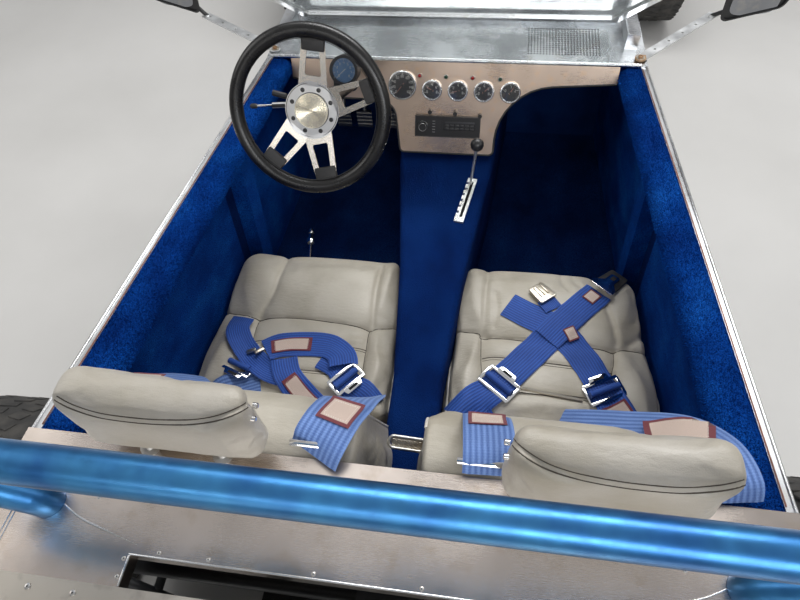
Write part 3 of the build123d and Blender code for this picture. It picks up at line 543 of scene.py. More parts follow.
@dataclass(frozen=True)
class PatchCloth:
    """Sewn label patch, left plain: a pale field in a dark border, read from UV."""

    field: Colour
    border: Colour

    def build(self, name: str) -> bpy.types.Material:
        """The patch's material: woven threads, and a border near its edges."""
        shade = Shade(name)
        reach = [shade.maths("ABSOLUTE", shade.maths("SUBTRACT", part, 0.5))
                 for part in shade.parts(shade.uv())[:2]]
        inset = shade.maths("MAXIMUM", reach[0], reach[1])
        outside = shade.spread(inset, 0.395, 0.41)
        threads = shade.noise(1400.0, 2.0)
        field = shade.mix(shade.spread(threads, 0.3, 0.7), tinted(self.field, 0.75), self.field)
        shade.give(Base_Color=shade.mix(outside, field, self.border), Roughness=0.8, Sheen_Weight=0.2)
        shade.bump((threads, 0.0004))
        return shade.material


@dataclass(frozen=True)
class Turned:
    """Metal turned on a lathe: fine rings round an axis fan its highlight out from the middle."""

    colour: Colour
    centre: Point
    roughness: float = 0.22
    pitch: float = 0.0011

    def build(self, name: str) -> bpy.types.Material:
        """The turned metal's material."""
        shade = Shade(name)
        away = shade.length(shade.seen_from(self.centre))
        rings = shade.maths("SINE", shade.maths("MULTIPLY", away, math.tau / self.pitch))
        tone = shade.ramp(shade.noise(40.0, 3.0), (0.3, tinted(self.colour, 0.94)), (0.7, self.colour))
        rough = shade.spread(shade.noise(90.0, 3.0), 0.3, 0.7, self.roughness - 0.03, self.roughness + 0.05)
        shade.give(Base_Color=tone, Metallic=1.0, Roughness=rough)
        shade.bump((rings, self.pitch * 0.10))
        return shade.material


class Finish(Enum):
    """Every finish on the car."""

    BODY_METAL = SheetMetal((0.72, 0.73, 0.74), 0.32, Grain.ALONG_Y, 0.0014)
    COWL_METAL = SheetMetal((0.60, 0.62, 0.635), 0.24, Grain.ALONG_X, 0.004)
    DECK_METAL = SheetMetal((0.68, 0.60, 0.54), 0.24, Grain.ALONG_X, 0.007, (0.52, 0.42, 0.32), 0.4)
    COVER_METAL = SheetMetal((0.54, 0.50, 0.44), 0.42, Grain.ALONG_X, 0.002, (0.30, 0.27, 0.24), 0.5)
    DASH_METAL = SheetMetal((0.57, 0.45, 0.36), 0.28, Grain.ALONG_X, 0.004, (0.70, 0.42, 0.20), 0.25)
    STEEL = SheetMetal((0.56, 0.55, 0.53), 0.36, Grain.NONE, 0.0008, (0.32, 0.20, 0.12), 0.45)
    WORN_STEEL = SheetMetal((0.62, 0.57, 0.48), 0.32, Grain.ALONG_X, 0.0004, (0.34, 0.24, 0.14), 0.6)
    RUSTED_BOLT = SheetMetal((0.50, 0.33, 0.20), 0.55, Grain.NONE, 0.0004, (0.38, 0.16, 0.06), 0.9)
    CHROME = SheetMetal((0.88, 0.88, 0.88), 0.08, Grain.NONE, 0.0003, (0.6, 0.55, 0.5), 0.1)
    SCREEN_ALLOY = SheetMetal((0.74, 0.75, 0.76), 0.25, Grain.ALONG_X, 0.001)
    RIM_ALLOY = SheetMetal((0.62, 0.63, 0.64), 0.33, Grain.NONE, 0.0008, (0.2, 0.18, 0.16), 0.3)
    MIRROR = SheetMetal((0.30, 0.31, 0.33), 0.04, Grain.NONE, 0.0)
    CAST_IRON = Moulded((0.10, 0.10, 0.105), 0.62, 500.0, 0.0004, 0.4, (0.24, 0.19, 0.14))
    HOOP_PAINT = Paint((0.050, 0.245, 0.52), (0.022, 0.135, 0.38), 0.9, 0.34, 0.35, 0.10)
    FRAME_PAINT = Paint((0.055, 0.058, 0.062), (0.035, 0.036, 0.04), 0.0, 0.42, 0.2)
    # Each carpet's second colour is painted shade between the tufts and its third a painted highlight on their tips
    CARPET = PileCarpet((0.003, 0.075, 0.40), (0.001, 0.028, 0.19), (0.012, 0.165, 0.68))
    FLOOR_CARPET = PileCarpet((0.008, 0.042, 0.19), (0.004, 0.018, 0.09), (0.014, 0.074, 0.31))
    TUNNEL_CARPET = PileCarpet((0.003, 0.029, 0.165), (0.002, 0.014, 0.09), (0.007, 0.050, 0.25))
    SEAT_VINYL = Vinyl((0.535, 0.495, 0.415), (0.40, 0.360, 0.285))
    PAD_VINYL = Vinyl((0.52, 0.485, 0.425), (0.40, 0.36, 0.285), 0.36)
    PIPING = Vinyl((0.80, 0.78, 0.73), (0.62, 0.58, 0.50), 0.4)
    # Painted shade: the dark colour of the lines laid in the seams' grooves, which are in shadow
    SEAM = Moulded((0.075, 0.062, 0.048), 0.8, 1200.0, 0.0001, 0.1)
    WEBBING = WovenBelt((0.022, 0.092, 0.40), (0.007, 0.036, 0.20))
    PALE_WEBBING = WovenBelt((0.15, 0.25, 0.52), (0.045, 0.105, 0.31), 9.0)
    LABEL = PatchCloth((0.66, 0.52, 0.44), (0.16, 0.03, 0.04))
    BLACK_PLASTIC = Moulded((0.022, 0.022, 0.023), 0.45)
    BLACK_METAL = Moulded((0.03, 0.03, 0.032), 0.35, 700.0, 0.00015, 0.1)
    GRIP = Moulded((0.026, 0.025, 0.025), 0.40, 620.0, 0.0005, 0.22, (0.20, 0.19, 0.17))
    TYRE = Moulded((0.030, 0.029, 0.028), 0.78, 380.0, 0.0004, 0.45, (0.17, 0.155, 0.135))
    # Painted shade: near-black laid in holes, slots and grooves where shadow falls
    DARK_HOLE = Moulded((0.010, 0.010, 0.012), 0.9, 400.0, 0.0001, 0.0)
    DIAL = Moulded((0.040, 0.040, 0.044), 0.55, 900.0, 0.00005, 0.05)
    BLUE_DIAL = Moulded((0.16, 0.30, 0.52), 0.35, 900.0, 0.00005, 0.10, (0.35, 0.45, 0.60))
    DIAL_MARK = Moulded((0.72, 0.70, 0.64), 0.6, 900.0, 0.00002, 0.1)
    NEEDLE = Moulded((0.66, 0.30, 0.22), 0.5, 900.0, 0.00002, 0.05)
    RED_LAMP = Moulded((0.30, 0.014, 0.012), 0.2, 900.0, 0.00005, 0.05)
    GREEN_LAMP = Moulded((0.015, 0.055, 0.030), 0.2, 900.0, 0.00005, 0.05)
    GLASS = Clear()
    DIAL_GLASS = Clear((0.96, 0.98, 1.0), 0.0)
    RED_LENS = Clear((0.62, 0.02, 0.015), 0.08, 0.0012)
    BINDING = Moulded((0.20, 0.055, 0.030), 0.55, 900.0, 0.0002, 0.2)
    PALE_STEEL = SheetMetal((0.86, 0.84, 0.78), 0.35, Grain.NONE, 0.0004, (0.45, 0.36, 0.25), 0.4)
    SPRING = Paint((0.30, 0.022, 0.018), (0.18, 0.012, 0.010), 0.0, 0.35, 0.4)
    TURNED_CAP = Turned((0.86, 0.79, 0.62), (-0.288, -0.465, 0.846))

    def material(self) -> bpy.types.Material:
        """The finish's material, made on first use."""
        name = f"{self.name.lower()}_finish"
        return bpy.data.materials.get(name) or self.value.build(name)


# Meshes


def placed(origin: Sequence[float], axis: Sequence[float] = (0, 0, 1),
           up: Sequence[float] = (0, 1, 0)) -> Matrix:
    """A place whose Z points along axis and whose Y leans towards up.

    Args:
        origin: Where the place is.
        axis: Direction of its Z.
        up: Direction that its Y comes nearest to.

    Returns:
        The place as a matrix.
    """
    z = Vector(axis).normalized()
    hint = Vector(up)
    if abs(z.dot(hint.normalized())) > 0.98:
        hint = Vector((1, 0, 0))
    x = hint.cross(z).normalized()
    y = z.cross(x)
    matrix = Matrix((x, y, z)).transposed().to_4x4()
    matrix.translation = Vector(origin)
    return matrix


def smooth_path(points: Sequence[Sequence[float]], step: float = 0.01) -> list[Vector]:
    """Even points along a smooth curve through the given ones.

    Args:
        points: Points that the curve passes through.
        step: Distance between the even points.

    Returns:
        The even points.
    """
    knots = [Vector(p) for p in points]
    last = len(knots) - 1
    fine = []
    for i in range(last):
        a, b, c, d = knots[max(i - 1, 0)], knots[i], knots[i + 1], knots[min(i + 2, last)]
        for k in range(12):
            t = k / 12
            fine.append(0.5 * ((2 * b) + (c - a) * t + (2 * a - 5 * b + 4 * c - d) * t * t
                               + (3 * b - a - 3 * c + d) * t ** 3))
    fine.append(knots[-1])
    lengths = np.concatenate([[0.0], np.cumsum([(q - p).length for p, q in zip(fine, fine[1:])])])
    number = max(2, round(lengths[-1] / step) + 1)
    where = np.linspace(0, lengths[-1], number)
    columns = [np.interp(where, lengths, [p[k] for p in fine]) for k in range(3)]
    return [Vector(p) for p in zip(*columns)]


def circle(place: Matrix, radius: float, height: float = 0.0, steps: int = 64) -> list[Vector]:
    """Points round the Z of a place, at a radius and a height."""
    angles = [math.tau * k / steps for k in range(steps)]
    return [place @ Vector((radius * math.cos(a), radius * math.sin(a), height)) for a in angles]


class Shape:
    """Vertices, faces and UVs gathered for one piece."""

    def __init__(self) -> None:
        """Starts empty."""
        self.points: list[Vector] = []
        self.faces: list[tuple[int, ...]] = []
        self.uvs: list[list[tuple[float, float]] | None] = []

    def add(self, points: Iterable[Sequence[float]], faces: Iterable[Sequence[int]],
            uvs: Sequence[Sequence[tuple[float, float]]] | None = None) -> Shape:
        """Adds points and the faces between them, with a UV list for each face where there is one."""
        start = len(self.points)
        self.points.extend(Vector(p) for p in points)
        for index, face in enumerate(faces):
            self.faces.append(tuple(start + k for k in face))
            self.uvs.append(list(uvs[index]) if uvs else None)
        return self

    def loft(self, rings: Sequence[Sequence[Vector]], closed: bool = False) -> Shape:
        """Skins rings of as many points each, and caps the ends."""
        count = len(rings[0])
        start = len(self.points)
        for ring in rings:
            self.points.extend(Vector(p) for p in ring)
        total = len(rings)
        for r in range(total if closed else total - 1):
            near, far = start + r * count, start + ((r + 1) % total) * count
            for k in range(count):
                n = (k + 1) % count
                self.faces.append((near + k, near + n, far + n, far + k))
                self.uvs.append(None)
        if not closed:
            self.faces.append(tuple(start + k for k in range(count))[::-1])
            self.faces.append(tuple(start + (total - 1) * count + k for k in range(count)))
            self.uvs.extend([None, None])
        return self

    def tube(self, path: Sequence[Vector], radius: float | Callable[[float], float], sides: int = 10,
             closed: bool = False) -> Shape:
        """A round bar along a path, with a radius that may change from start to end."""
        rings = []
        count = len(path)
        normal = None
        for i, point in enumerate(path):
            if closed:
                tangent = (path[(i + 1) % count] - path[i - 1]).normalized()
            else:
                tangent = (path[min(i + 1, count - 1)] - path[max(i - 1, 0)]).normalized()
            if normal is None:
                normal = tangent.orthogonal().normalized()
            normal = (normal - tangent * normal.dot(tangent)).normalized()
            other = tangent.cross(normal)
            size = radius(i / max(count - 1, 1)) if callable(radius) else radius
            rings.append([point + size * (math.cos(a) * normal + math.sin(a) * other)
                          for a in (math.tau * k / sides for k in range(sides))])
        return self.loft(rings, closed=closed)

    def lathe(self, profile: Sequence[tuple[float, float]], place: Matrix, steps: int = 32) -> Shape:
        """Turns a profile of radius and height about the Z of a place. It runs from axis to axis."""
        index = []
        for radius, height in profile:
            if radius < 1e-6:
                index.append([len(self.points)] * steps)
                self.points.append(place @ Vector((0, 0, height)))
                continue
            index.append([len(self.points) + k for k in range(steps)])
            self.points.extend(circle(place, radius, height, steps))
        for near, far in zip(index, index[1:]):
            for k in range(steps):
                n = (k + 1) % steps
                face = list(dict.fromkeys((near[k], near[n], far[n], far[k])))
                if len(face) > 2:
                    self.faces.append(tuple(face))
                    self.uvs.append(None)
        return self

    def block(self, place: Matrix, size: Sequence[float], bevel: float = 0.0, segments: int = 2) -> Shape:
        """A box at a place, its edges rounded."""
        form = bmesh.new()
        bmesh.ops.create_cube(form, size=1.0, matrix=Matrix.Diagonal((*size, 1.0)))
        if bevel:
            bmesh.ops.bevel(form, geom=form.edges[:], offset=bevel, segments=segments, profile=0.5,
                            affect="EDGES", clamp_overlap=True)
        return self.take(form, place)

    def plate(self, place: Matrix, outline: Sequence[tuple[float, float]], thick: float,
              bevel: float = 0.0) -> Shape:
        """A flat outline at a place, thickened along its Z, its rims rounded."""
        form = bmesh.new()
        verts = [form.verts.new((x, y, 0)) for x, y in outline]
        face = form.faces.new(verts)
        if face.normal.z < 0:
            face.normal_flip()
        made = bmesh.ops.extrude_face_region(form, geom=[face])
        lifted = [v for v in made["geom"] if isinstance(v, bmesh.types.BMVert)]
        bmesh.ops.translate(form, verts=lifted, vec=(0, 0, thick))
        bmesh.ops.recalc_face_normals(form, faces=form.faces[:])
        if bevel:
            rims = [e for e in form.edges if abs((e.verts[0].co - e.verts[1].co).z) < thick / 2]
            bmesh.ops.bevel(form, geom=rims, offset=bevel, segments=2, profile=0.5, affect="EDGES",
                            clamp_overlap=True)
        return self.take(form, place)

    def take(self, form: bmesh.types.BMesh, place: Matrix) -> Shape:
        """Adds a bmesh at a place, and frees it."""
        form.verts.ensure_lookup_table()
        form.verts.index_update()
        self.add([place @ v.co for v in form.verts], [[v.index for v in f.verts] for f in form.faces])
        form.free()
        return self

    def mesh(self, name: str, merge: bool = True) -> bpy.types.Mesh:
        """The gathered faces as a mesh whose faces point outwards."""
        form = bmesh.new()
        layer = form.loops.layers.uv.new("UVMap")
        verts = [form.verts.new(p) for p in self.points]
        for indices, uvs in zip(self.faces, self.uvs):
            try:
                face = form.faces.new([verts[i] for i in indices])
            except ValueError:
                continue
            if uvs:
                for loop, uv in zip(face.loops, uvs):
                    loop[layer].uv = uv
        if merge:
            bmesh.ops.remove_doubles(form, verts=form.verts[:], dist=1e-6)
            bmesh.ops.recalc_face_normals(form, faces=form.faces[:])
        mesh = bpy.data.meshes.new(name)
        form.to_mesh(mesh)
        form.free()
        return mesh

    def piece(self, name: str, finish: Finish, body: str, slot: str, angle: float = 35.0) -> bpy.types.Object:
        """The gathered faces as a finished piece that rides on a body."""
        return dressed(bpy.data.objects.new(name, self.mesh(name)), finish, body, slot, angle)


def dressed(thing: bpy.types.Object, finish: Finish, body: str, slot: str,
            angle: float = 35.0) -> bpy.types.Object:
    """Links a piece, smooths it, gives it its finish, and has it ride on its body.

    Args:
        thing: The piece, with its place in its mesh.
        finish: Its finish.
        body: The moving body that carries it.
        slot: The record's material slot that it belongs to.
        angle: Edges bent by less than this many degrees are shaded smooth.

    Returns:
        The piece.
    """
    if thing.name not in bpy.context.scene.collection.objects:
        bpy.context.scene.collection.objects.link(thing)
    mesh = thing.data
    mesh.materials.clear()
    mesh.materials.append(finish.material())
    mesh.shade_smooth()
    mesh.set_sharp_from_angle(angle=math.radians(angle))
    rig.ride(thing, body)
    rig.slot(thing, slot)
    LOG.info("%s: %d faces on %s", thing.name, len(mesh.polygons), body)
    return thing


def applied(thing: bpy.types.Object) -> bpy.types.Object:
    """Bakes a piece's modifiers into its mesh and removes them."""
    evaluated = thing.evaluated_get(bpy.context.evaluated_depsgraph_get())
    mesh = bpy.data.meshes.new_from_object(evaluated)
    thing.modifiers.clear()
    thing.data = mesh
    return thing


class Repeater:
    """A geometry node tree that repeats a small form, with named inputs for its sizes."""

    def __init__(self, name: str) -> None:
        """Starts the tree with a geometry input and output."""
        self.tree = bpy.data.node_groups.new(name, "GeometryNodeTree")
        self.tree.interface.new_socket("Geometry", in_out="INPUT", socket_type="NodeSocketGeometry")
        self.tree.interface.new_socket("Geometry", in_out="OUTPUT", socket_type="NodeSocketGeometry")
        self.entry = self.tree.nodes.new("NodeGroupInput")
        self.exit = self.tree.nodes.new("NodeGroupOutput")
        self.values: dict[str, object] = {}

    def node(self, kind: str, inputs: dict | None = None, **settings: object) -> bpy.types.Node:
        """Adds a node, with values or outputs for its inputs."""
        made = self.tree.nodes.new(kind)
        for key, value in settings.items():
            setattr(made, key, value)
        for key, value in (inputs or {}).items():
            socket = made.inputs[key]
            if isinstance(value, bpy.types.NodeSocket):
                self.tree.links.new(value, socket)
            else:
                socket.default_value = value
        return made

    def size(self, name: str, value: float | int | Sequence[float]) -> bpy.types.NodeSocket:
        """A named input of the tree, with the value that this piece gives it."""
        kind = "NodeSocketFloat"
        if isinstance(value, int):
            kind = "NodeSocketInt"
        elif not isinstance(value, float):
            kind = "NodeSocketVector"
        socket = self.tree.interface.new_socket(name, in_out="INPUT", socket_type=kind)
        self.values[socket.identifier] = value
        return self.entry.outputs[name]

    def host(self) -> bpy.types.NodeSocket:
        """The geometry of the object that carries the tree."""
        return self.entry.outputs["Geometry"]

    def moved(self, geometry: bpy.types.NodeSocket, place: Matrix) -> bpy.types.NodeSocket:
        """A geometry carried to a place, whose centre and turn are inputs of the tree."""
        move = self.node("GeometryNodeTransform", {
            "Geometry": geometry,
            "Translation": self.size("Centre", tuple(place.translation)),
            "Rotation": self.size("Turn", tuple(place.to_euler("XYZ")))})
        return move.outputs["Geometry"]

    def made(self, geometry: bpy.types.NodeSocket, carrier: Shape, name: str, finish: Finish, body: str,
             slot: str, angle: float = 35.0) -> bpy.types.Object:
        """Ends the tree and turns its result into a plain mesh piece.

        Args:
            geometry: The tree's last geometry.
            carrier: Points, edges or faces that the tree starts from.
            name: The piece's name.
            finish: Its finish.
            body: The moving body that carries it.
            slot: The record's material slot that it belongs to.
            angle: Smoothing angle in degrees.

        Returns:
            The piece.
        """
        real = self.node("GeometryNodeRealizeInstances", {"Geometry": geometry})
        coloured = self.node("GeometryNodeSetMaterial", {"Geometry": real.outputs["Geometry"]})
        coloured.inputs["Material"].default_value = finish.material()
        self.tree.links.new(coloured.outputs["Geometry"], self.exit.inputs["Geometry"])
        host = bpy.data.objects.new(name, carrier.mesh(name, merge=False))
        bpy.context.scene.collection.objects.link(host)
        modifier = host.modifiers.new("repeat", "NODES")
        modifier.node_group = self.tree
        for identifier, value in self.values.items():
            modifier[identifier] = value
        return dressed(applied(host), finish, body, slot, angle)


class Lines:
    """Paths as edges, from which a geometry tree reads its curves."""

    def __init__(self, *paths: Sequence[Sequence[float]], closed: bool = False) -> None:
        """Keeps the paths."""
        self.paths = paths
        self.closed = closed

    def mesh(self, name: str, merge: bool = False) -> bpy.types.Mesh:
        """The paths as a mesh of edges."""
        points, edges = [], []
        for path in self.paths:
            start = len(points)
            points.extend(tuple(p) for p in path)
            edges.extend((start + k, start + k + 1) for k in range(len(path) - 1))
            if self.closed:
                edges.append((start + len(path) - 1, start))
        mesh = bpy.data.meshes.new(name)
        mesh.from_pydata(points, edges, [])
        return mesh


def beads(name: str, lines: Lines, spacing: float, radius: float, flat: float, finish: Finish, body: str,
          slot: str, long: float = 1.0, sides: int = 8) -> bpy.types.Object:
    """Round-headed beads set along paths: rivets, screw heads or stitches.

    Args:
        name: The piece's name.
        lines: The paths that the beads follow.
        spacing: Distance from bead to bead.
        radius: Radius of a bead across its path.
        flat: Height of a bead as a share of its radius.
        finish: Finish of the beads.
        body: The moving body that carries them.
        slot: The record's material slot.
        long: Length along the path as a share of the radius.
        sides: Faces round a bead.

    Returns:
        The beads as one piece.
    """
    tree = Repeater(f"{name}_tree")
    curve = tree.node("GeometryNodeMeshToCurve", {"Mesh": tree.host()})
    pitch = tree.size("Spacing", float(spacing))
    even = tree.node("GeometryNodeResampleCurve", {"Curve": curve.outputs["Curve"], "Length": pitch},
                     mode="LENGTH")
    tangent = tree.node("GeometryNodeInputTangent")
    turn = tree.node("FunctionNodeAlignRotationToVector", {"Vector": tangent.outputs["Tangent"]}, axis="X")
    ball = tree.node("GeometryNodeMeshUVSphere", {"Segments": sides, "Rings": max(3, sides // 2),
                                                  "Radius": tree.size("Radius", float(radius))})
    form = tree.node("GeometryNodeTransform", {"Geometry": ball.outputs["Mesh"],
                                               "Scale": (long, 1.0, flat)})
    set_out = tree.node("GeometryNodeInstanceOnPoints", {"Points": even.outputs["Curve"],
                                                         "Instance": form.outputs["Geometry"],
                                                         "Rotation": turn.outputs["Rotation"]})
    return tree.made(set_out.outputs["Instances"], lines, name, finish, body, slot, ROUNDED)


def ring_of(name: str, unit: Shape, count: int, place: Matrix, finish: Finish, body: str, slot: str,
            angle: float = 35.0) -> bpy.types.Object:
    """A form repeated round the Z axis of a place.

    Args:
        name: The piece's name.
        unit: The form, modelled where it stands at angle zero.
        count: How many there are in the full turn.
        place: Centre and axis.
        finish: Finish of the forms.
        body: The moving body that carries them.
        slot: The record's material slot.
        angle: Smoothing angle in degrees.

    Returns:
        The forms as one piece.
    """
    tree = Repeater(f"{name}_tree")
    number = tree.size("Count", int(count))
    points = tree.node("GeometryNodeMeshLine", {"Count": number, "Offset": (0.0, 0.0, 0.0)})
    index = tree.node("GeometryNodeInputIndex")
    part = tree.node("ShaderNodeMath", {0: index.outputs["Index"], 1: number}, operation="DIVIDE")
    turn = tree.node("ShaderNodeMath", {0: part.outputs["Value"], 1: math.tau}, operation="MULTIPLY")
    angles = tree.node("ShaderNodeCombineXYZ", {"Z": turn.outputs["Value"]})
    copies = tree.node("GeometryNodeInstanceOnPoints", {"Points": points.outputs["Mesh"],
                                                        "Instance": tree.host(),
                                                        "Rotation": angles.outputs["Vector"]})
    turned = tree.moved(copies.outputs["Instances"], place)
    return tree.made(turned, unit, name, finish, body, slot, angle)


def grid_of(name: str, unit: Shape, counts: tuple[int, int], pitch: tuple[float, float], place: Matrix,
            finish: Finish, body: str, slot: str) -> bpy.types.Object:
    """A form repeated in rows and columns on the XY plane of a place."""
    tree = Repeater(f"{name}_tree")
    size = [(counts[k] - 1) * pitch[k] for k in (0, 1)]
    grid = tree.node("GeometryNodeMeshGrid", {"Size X": tree.size("Width", float(size[0])),
                                              "Size Y": tree.size("Length", float(size[1])),
                                              "Vertices X": tree.size("Columns", int(counts[0])),
                                              "Vertices Y": tree.size("Rows", int(counts[1]))})
    copies = tree.node("GeometryNodeInstanceOnPoints", {"Points": grid.outputs["Mesh"],
                                                        "Instance": tree.host()})
    laid = tree.moved(copies.outputs["Instances"], place)
    return tree.made(laid, unit, name, finish, body, slot)


def coil(name: str, start: Sequence[float], end: Sequence[float], radius: float, wire: float, turns: float,
         finish: Finish, body: str, slot: str) -> bpy.types.Object:
    """A coil spring between two points.

    Args:
        name: The piece's name.
        start: Middle of its first turn.
        end: Middle of its last turn.
        radius: Radius of its turns, at the wire's middle.
        wire: Radius of the wire.
        turns: Number of turns.
        finish: Finish of the wire.
        body: The moving body that carries it.
        slot: The record's material slot.

    Returns:
        The spring.
    """
    tree = Repeater(f"{name}_tree")
    run = Vector(end) - Vector(start)
    spiral = tree.node("GeometryNodeCurveSpiral", {
        "Resolution": 28, "Rotations": tree.size("Turns", float(turns)),
        "Start Radius": tree.size("Radius", float(radius)), "End Radius": float(radius),
        "Height": tree.size("Length", float(run.length))})
    section = tree.node("GeometryNodeCurvePrimitiveCircle", {"Resolution": 10,
                                                             "Radius": tree.size("Wire", float(wire))})
    bar = tree.node("GeometryNodeCurveToMesh", {"Curve": spiral.outputs["Curve"],
                                                "Profile Curve": section.outputs["Curve"], "Fill Caps": True})
    stood = tree.moved(bar.outputs["Mesh"], placed(start, run))
    return tree.made(stood, Shape().add([(0, 0, 0)], []), name, finish, body, slot, ROUNDED)


# Camera, floor and light


@dataclass
class Studio:
    """The pale room that the car stands in, with the camera behind and above the seats."""

    eye: Point = (0.113, -1.559, 1.679)
    heading: float = 11.931
    dip: float = 54.062
    roll: float = -5.283
    focal: float = 26.69
    sensor: float = 36.0
    floor_size: float = 30.0

    def camera(self) -> None:
        """Places the camera where the photograph's was, looking down and forward."""
        yaw, pitch, roll = (math.radians(a) for a in (self.heading, self.dip, self.roll))
        ahead = Vector((-math.sin(yaw) * math.cos(pitch), math.cos(yaw) * math.cos(pitch), -math.sin(pitch)))
        level = ahead.cross(Vector((0, 0, 1))).normalized()
        over = level.cross(ahead)
        right = math.cos(roll) * level + math.sin(roll) * over
        up = -math.sin(roll) * level + math.cos(roll) * over
        lens = bpy.data.cameras.new("camera")
        lens.sensor_fit = "HORIZONTAL"
        lens.sensor_width = self.sensor
        lens.lens = self.focal
        lens.clip_start = 0.02
        lens.clip_end = 100.0
        thing = bpy.data.objects.new("camera", lens)
        matrix = Matrix((right, up, -ahead)).transposed().to_4x4()
        matrix.translation = Vector(self.eye)
        thing.matrix_world = matrix
        bpy.context.scene.collection.objects.link(thing)
        bpy.context.scene.camera = thing

    def floor(self) -> None:
        """A plain pale floor with the faintest mottling."""
        half = self.floor_size / 2
        corners = [(-half, -half, 0), (half, -half, 0), (half, half, 0), (-half, half, 0)]
        thing = bpy.data.objects.new("floor", Shape().add(corners, [(0, 1, 2, 3)]).mesh("floor"))
        bpy.context.scene.collection.objects.link(thing)
        shade = Shade("floor")
        tone = shade.ramp(shade.noise(1.5, 4.0), (0.3, (0.56, 0.55, 0.53)), (0.7, (0.62, 0.61, 0.59)))
        shade.give(Base_Color=tone, Roughness=0.85, Specular_IOR_Level=0.2)
        thing.data.materials.append(shade.material)
        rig.stage(thing)

    def lamp(self, name: str, place: Point, target: Point, width: float, length: float, power: float,
             tint: Colour = (1.0, 1.0, 1.0)) -> None:
        """A soft rectangular lamp that faces a target."""
        data = bpy.data.lights.new(name, "AREA")
        data.shape = "RECTANGLE"
        data.size, data.size_y = width, length
        data.energy = power
        data.color = tint
        thing = bpy.data.objects.new(name, data)
        run = Vector(place) - Vector(target)
        thing.matrix_world = placed(place, run)
        bpy.context.scene.collection.objects.link(thing)

    def world(self) -> None:
        """A plain pale surrounding that darkens towards the floor's far edge, for metal to reflect."""
        world = bpy.data.worlds.new("room")
        bpy.context.scene.world = world
        world.use_nodes = True
        tree = world.node_tree
        back = tree.nodes["Background"]
        place = tree.nodes.new("ShaderNodeTexCoord")
        split = tree.nodes.new("ShaderNodeSeparateXYZ")
        tree.links.new(place.outputs["Generated"], split.inputs["Vector"])
        ramp = tree.nodes.new("ShaderNodeValToRGB")
        set_stops(ramp, ((0.0, (0.50, 0.49, 0.47)), (0.5, (0.50, 0.49, 0.48)), (0.60, (0.20, 0.20, 0.21)),
                         (0.80, (0.46, 0.47, 0.49)), (1.0, (0.78, 0.79, 0.81))))
        half = tree.nodes.new("ShaderNodeMapRange")
        half.inputs["From Min"].default_value = -1.0
        tree.links.new(split.outputs["Z"], half.inputs["Value"])
        tree.links.new(half.outputs["Result"], ramp.inputs["Fac"])
        tree.links.new(ramp.outputs["Color"], back.inputs["Color"])
        back.inputs["Strength"].default_value = 0.62

    def build(self) -> None:
        """Sets the view, the floor and the lamps."""
        bpy.context.scene.view_settings.view_transform = "Standard"
        self.camera()
        self.floor()
        self.world()
        self.lamp("lamp_over", (0.6, 1.6, 4.2), (0.0, -0.6, 0.4), 3.2, 1.4, 110.0)
        self.lamp("lamp_left", (-3.8, -0.6, 2.9), (0.0, -0.7, 0.4), 2.2, 2.2, 34.0, (1.0, 0.98, 0.95))
        self.lamp("lamp_right", (3.8, -0.6, 2.9), (0.0, -0.7, 0.4), 2.2, 2.2, 24.0, (1.0, 0.98, 0.95))
        self.lamp("lamp_low", (-0.9, -4.6, 1.8), (-0.2, -0.3, 0.7), 2.6, 1.0, 12.0, (1.0, 0.96, 0.90))
        self.lamp("strip_ahead", (0.0, 0.9, 3.0), (0.0, -1.35, 1.0), 3.6, 0.60, 20.0)
        self.lamp("strip_behind", (0.0, -3.6, 2.7), (0.0, -1.35, 1.0), 3.6, 0.60, 20.0)
        self.lamp("lamp_behind", (1.6, -4.6, 3.0), (0.0, -1.0, 0.5), 2.6, 1.6, 70.0, (0.96, 0.98, 1.0))


# Rigid pieces: which finish each takes

FINISH_OF: dict[str, Finish] = {name: finish for finish, names in (
    (Finish.FRAME_PAINT, ("chassis_frame", "front_suspension", "rear_axle")),
    (Finish.FLOOR_CARPET, ("floor_pan", "bulkheads")),
    (Finish.BODY_METAL, ("body_side_left", "body_side_right", "rear_panel", "nose_panel", "bonnet")),
    (Finish.TUNNEL_CARPET, ("tunnel_console",)),
    (Finish.COWL_METAL, ("cowl_panel",)),
    (Finish.DECK_METAL, ("rear_deck",)),
    (Finish.COVER_METAL, ("rear_cover",)),
    (Finish.BLACK_METAL, ("radiator", "steering_column")),
    (Finish.SCREEN_ALLOY, ("windscreen_frame",)),
    (Finish.GLASS, ("windscreen_glass",)),
    (Finish.BLACK_PLASTIC, ("mirrors",)),
    (Finish.HOOP_PAINT, ("roll_hoop",)),
    (Finish.DASH_METAL, ("dashboard",)),
    (Finish.CHROME, ("instruments", "headlamps")),
    (Finish.STEEL, ("shift_lever", "pedals", "exhaust", "steering_rack")),
    (Finish.CARPET, ("side_trim_left", "side_trim_right")),
    (Finish.CAST_IRON, ("engine_block", "knuckle_left", "knuckle_right")),
    (Finish.RED_LENS, ("tail_lamps",)),
    (Finish.GRIP, ("steering_wheel",)),
) for name in names}


def finish_rigid_pieces() -> None:
    """Gives every node of the frame its finish: tyres rubber, rims alloy, the rest from the table."""
    for name, thing in frame["nodes"].items():
        finish = FINISH_OF.get(name)
        if name.endswith("_tyre"):
            finish = Finish.TYRE
        elif name.endswith("_rim"):
            finish = Finish.RIM_ALLOY
        if finish is None:
            finish = Finish.SEAT_VINYL
        for place in thing.material_slots:
            place.material = finish.material()
        LOG.info("%s: %s", name, finish.name.lower())


# Upholstery


class Line(Enum):
    """How a seam looks on the cover."""

    CREASE = "a soft fold with no thread"
    GROOVE = "a deep pulled-in seam"
    STITCHED = "one sewn line"
    DOUBLE = "two sewn lines side by side"
    PIPED = "a raised white cord"


@dataclass(frozen=True)
class Seam:
    """A seam over a cushion, as points that are dropped onto its cover."""

    line: Line
    path: tuple[tuple[float, ...], ...]
    depth: float = 0.006
    pull: float = 0.022

    def points(self, step: float = 0.006) -> list[Vector]:
        """Even points along the seam."""
        return smooth_path([(*p, 0.0) if len(p) == 2 else p for p in self.path], step)


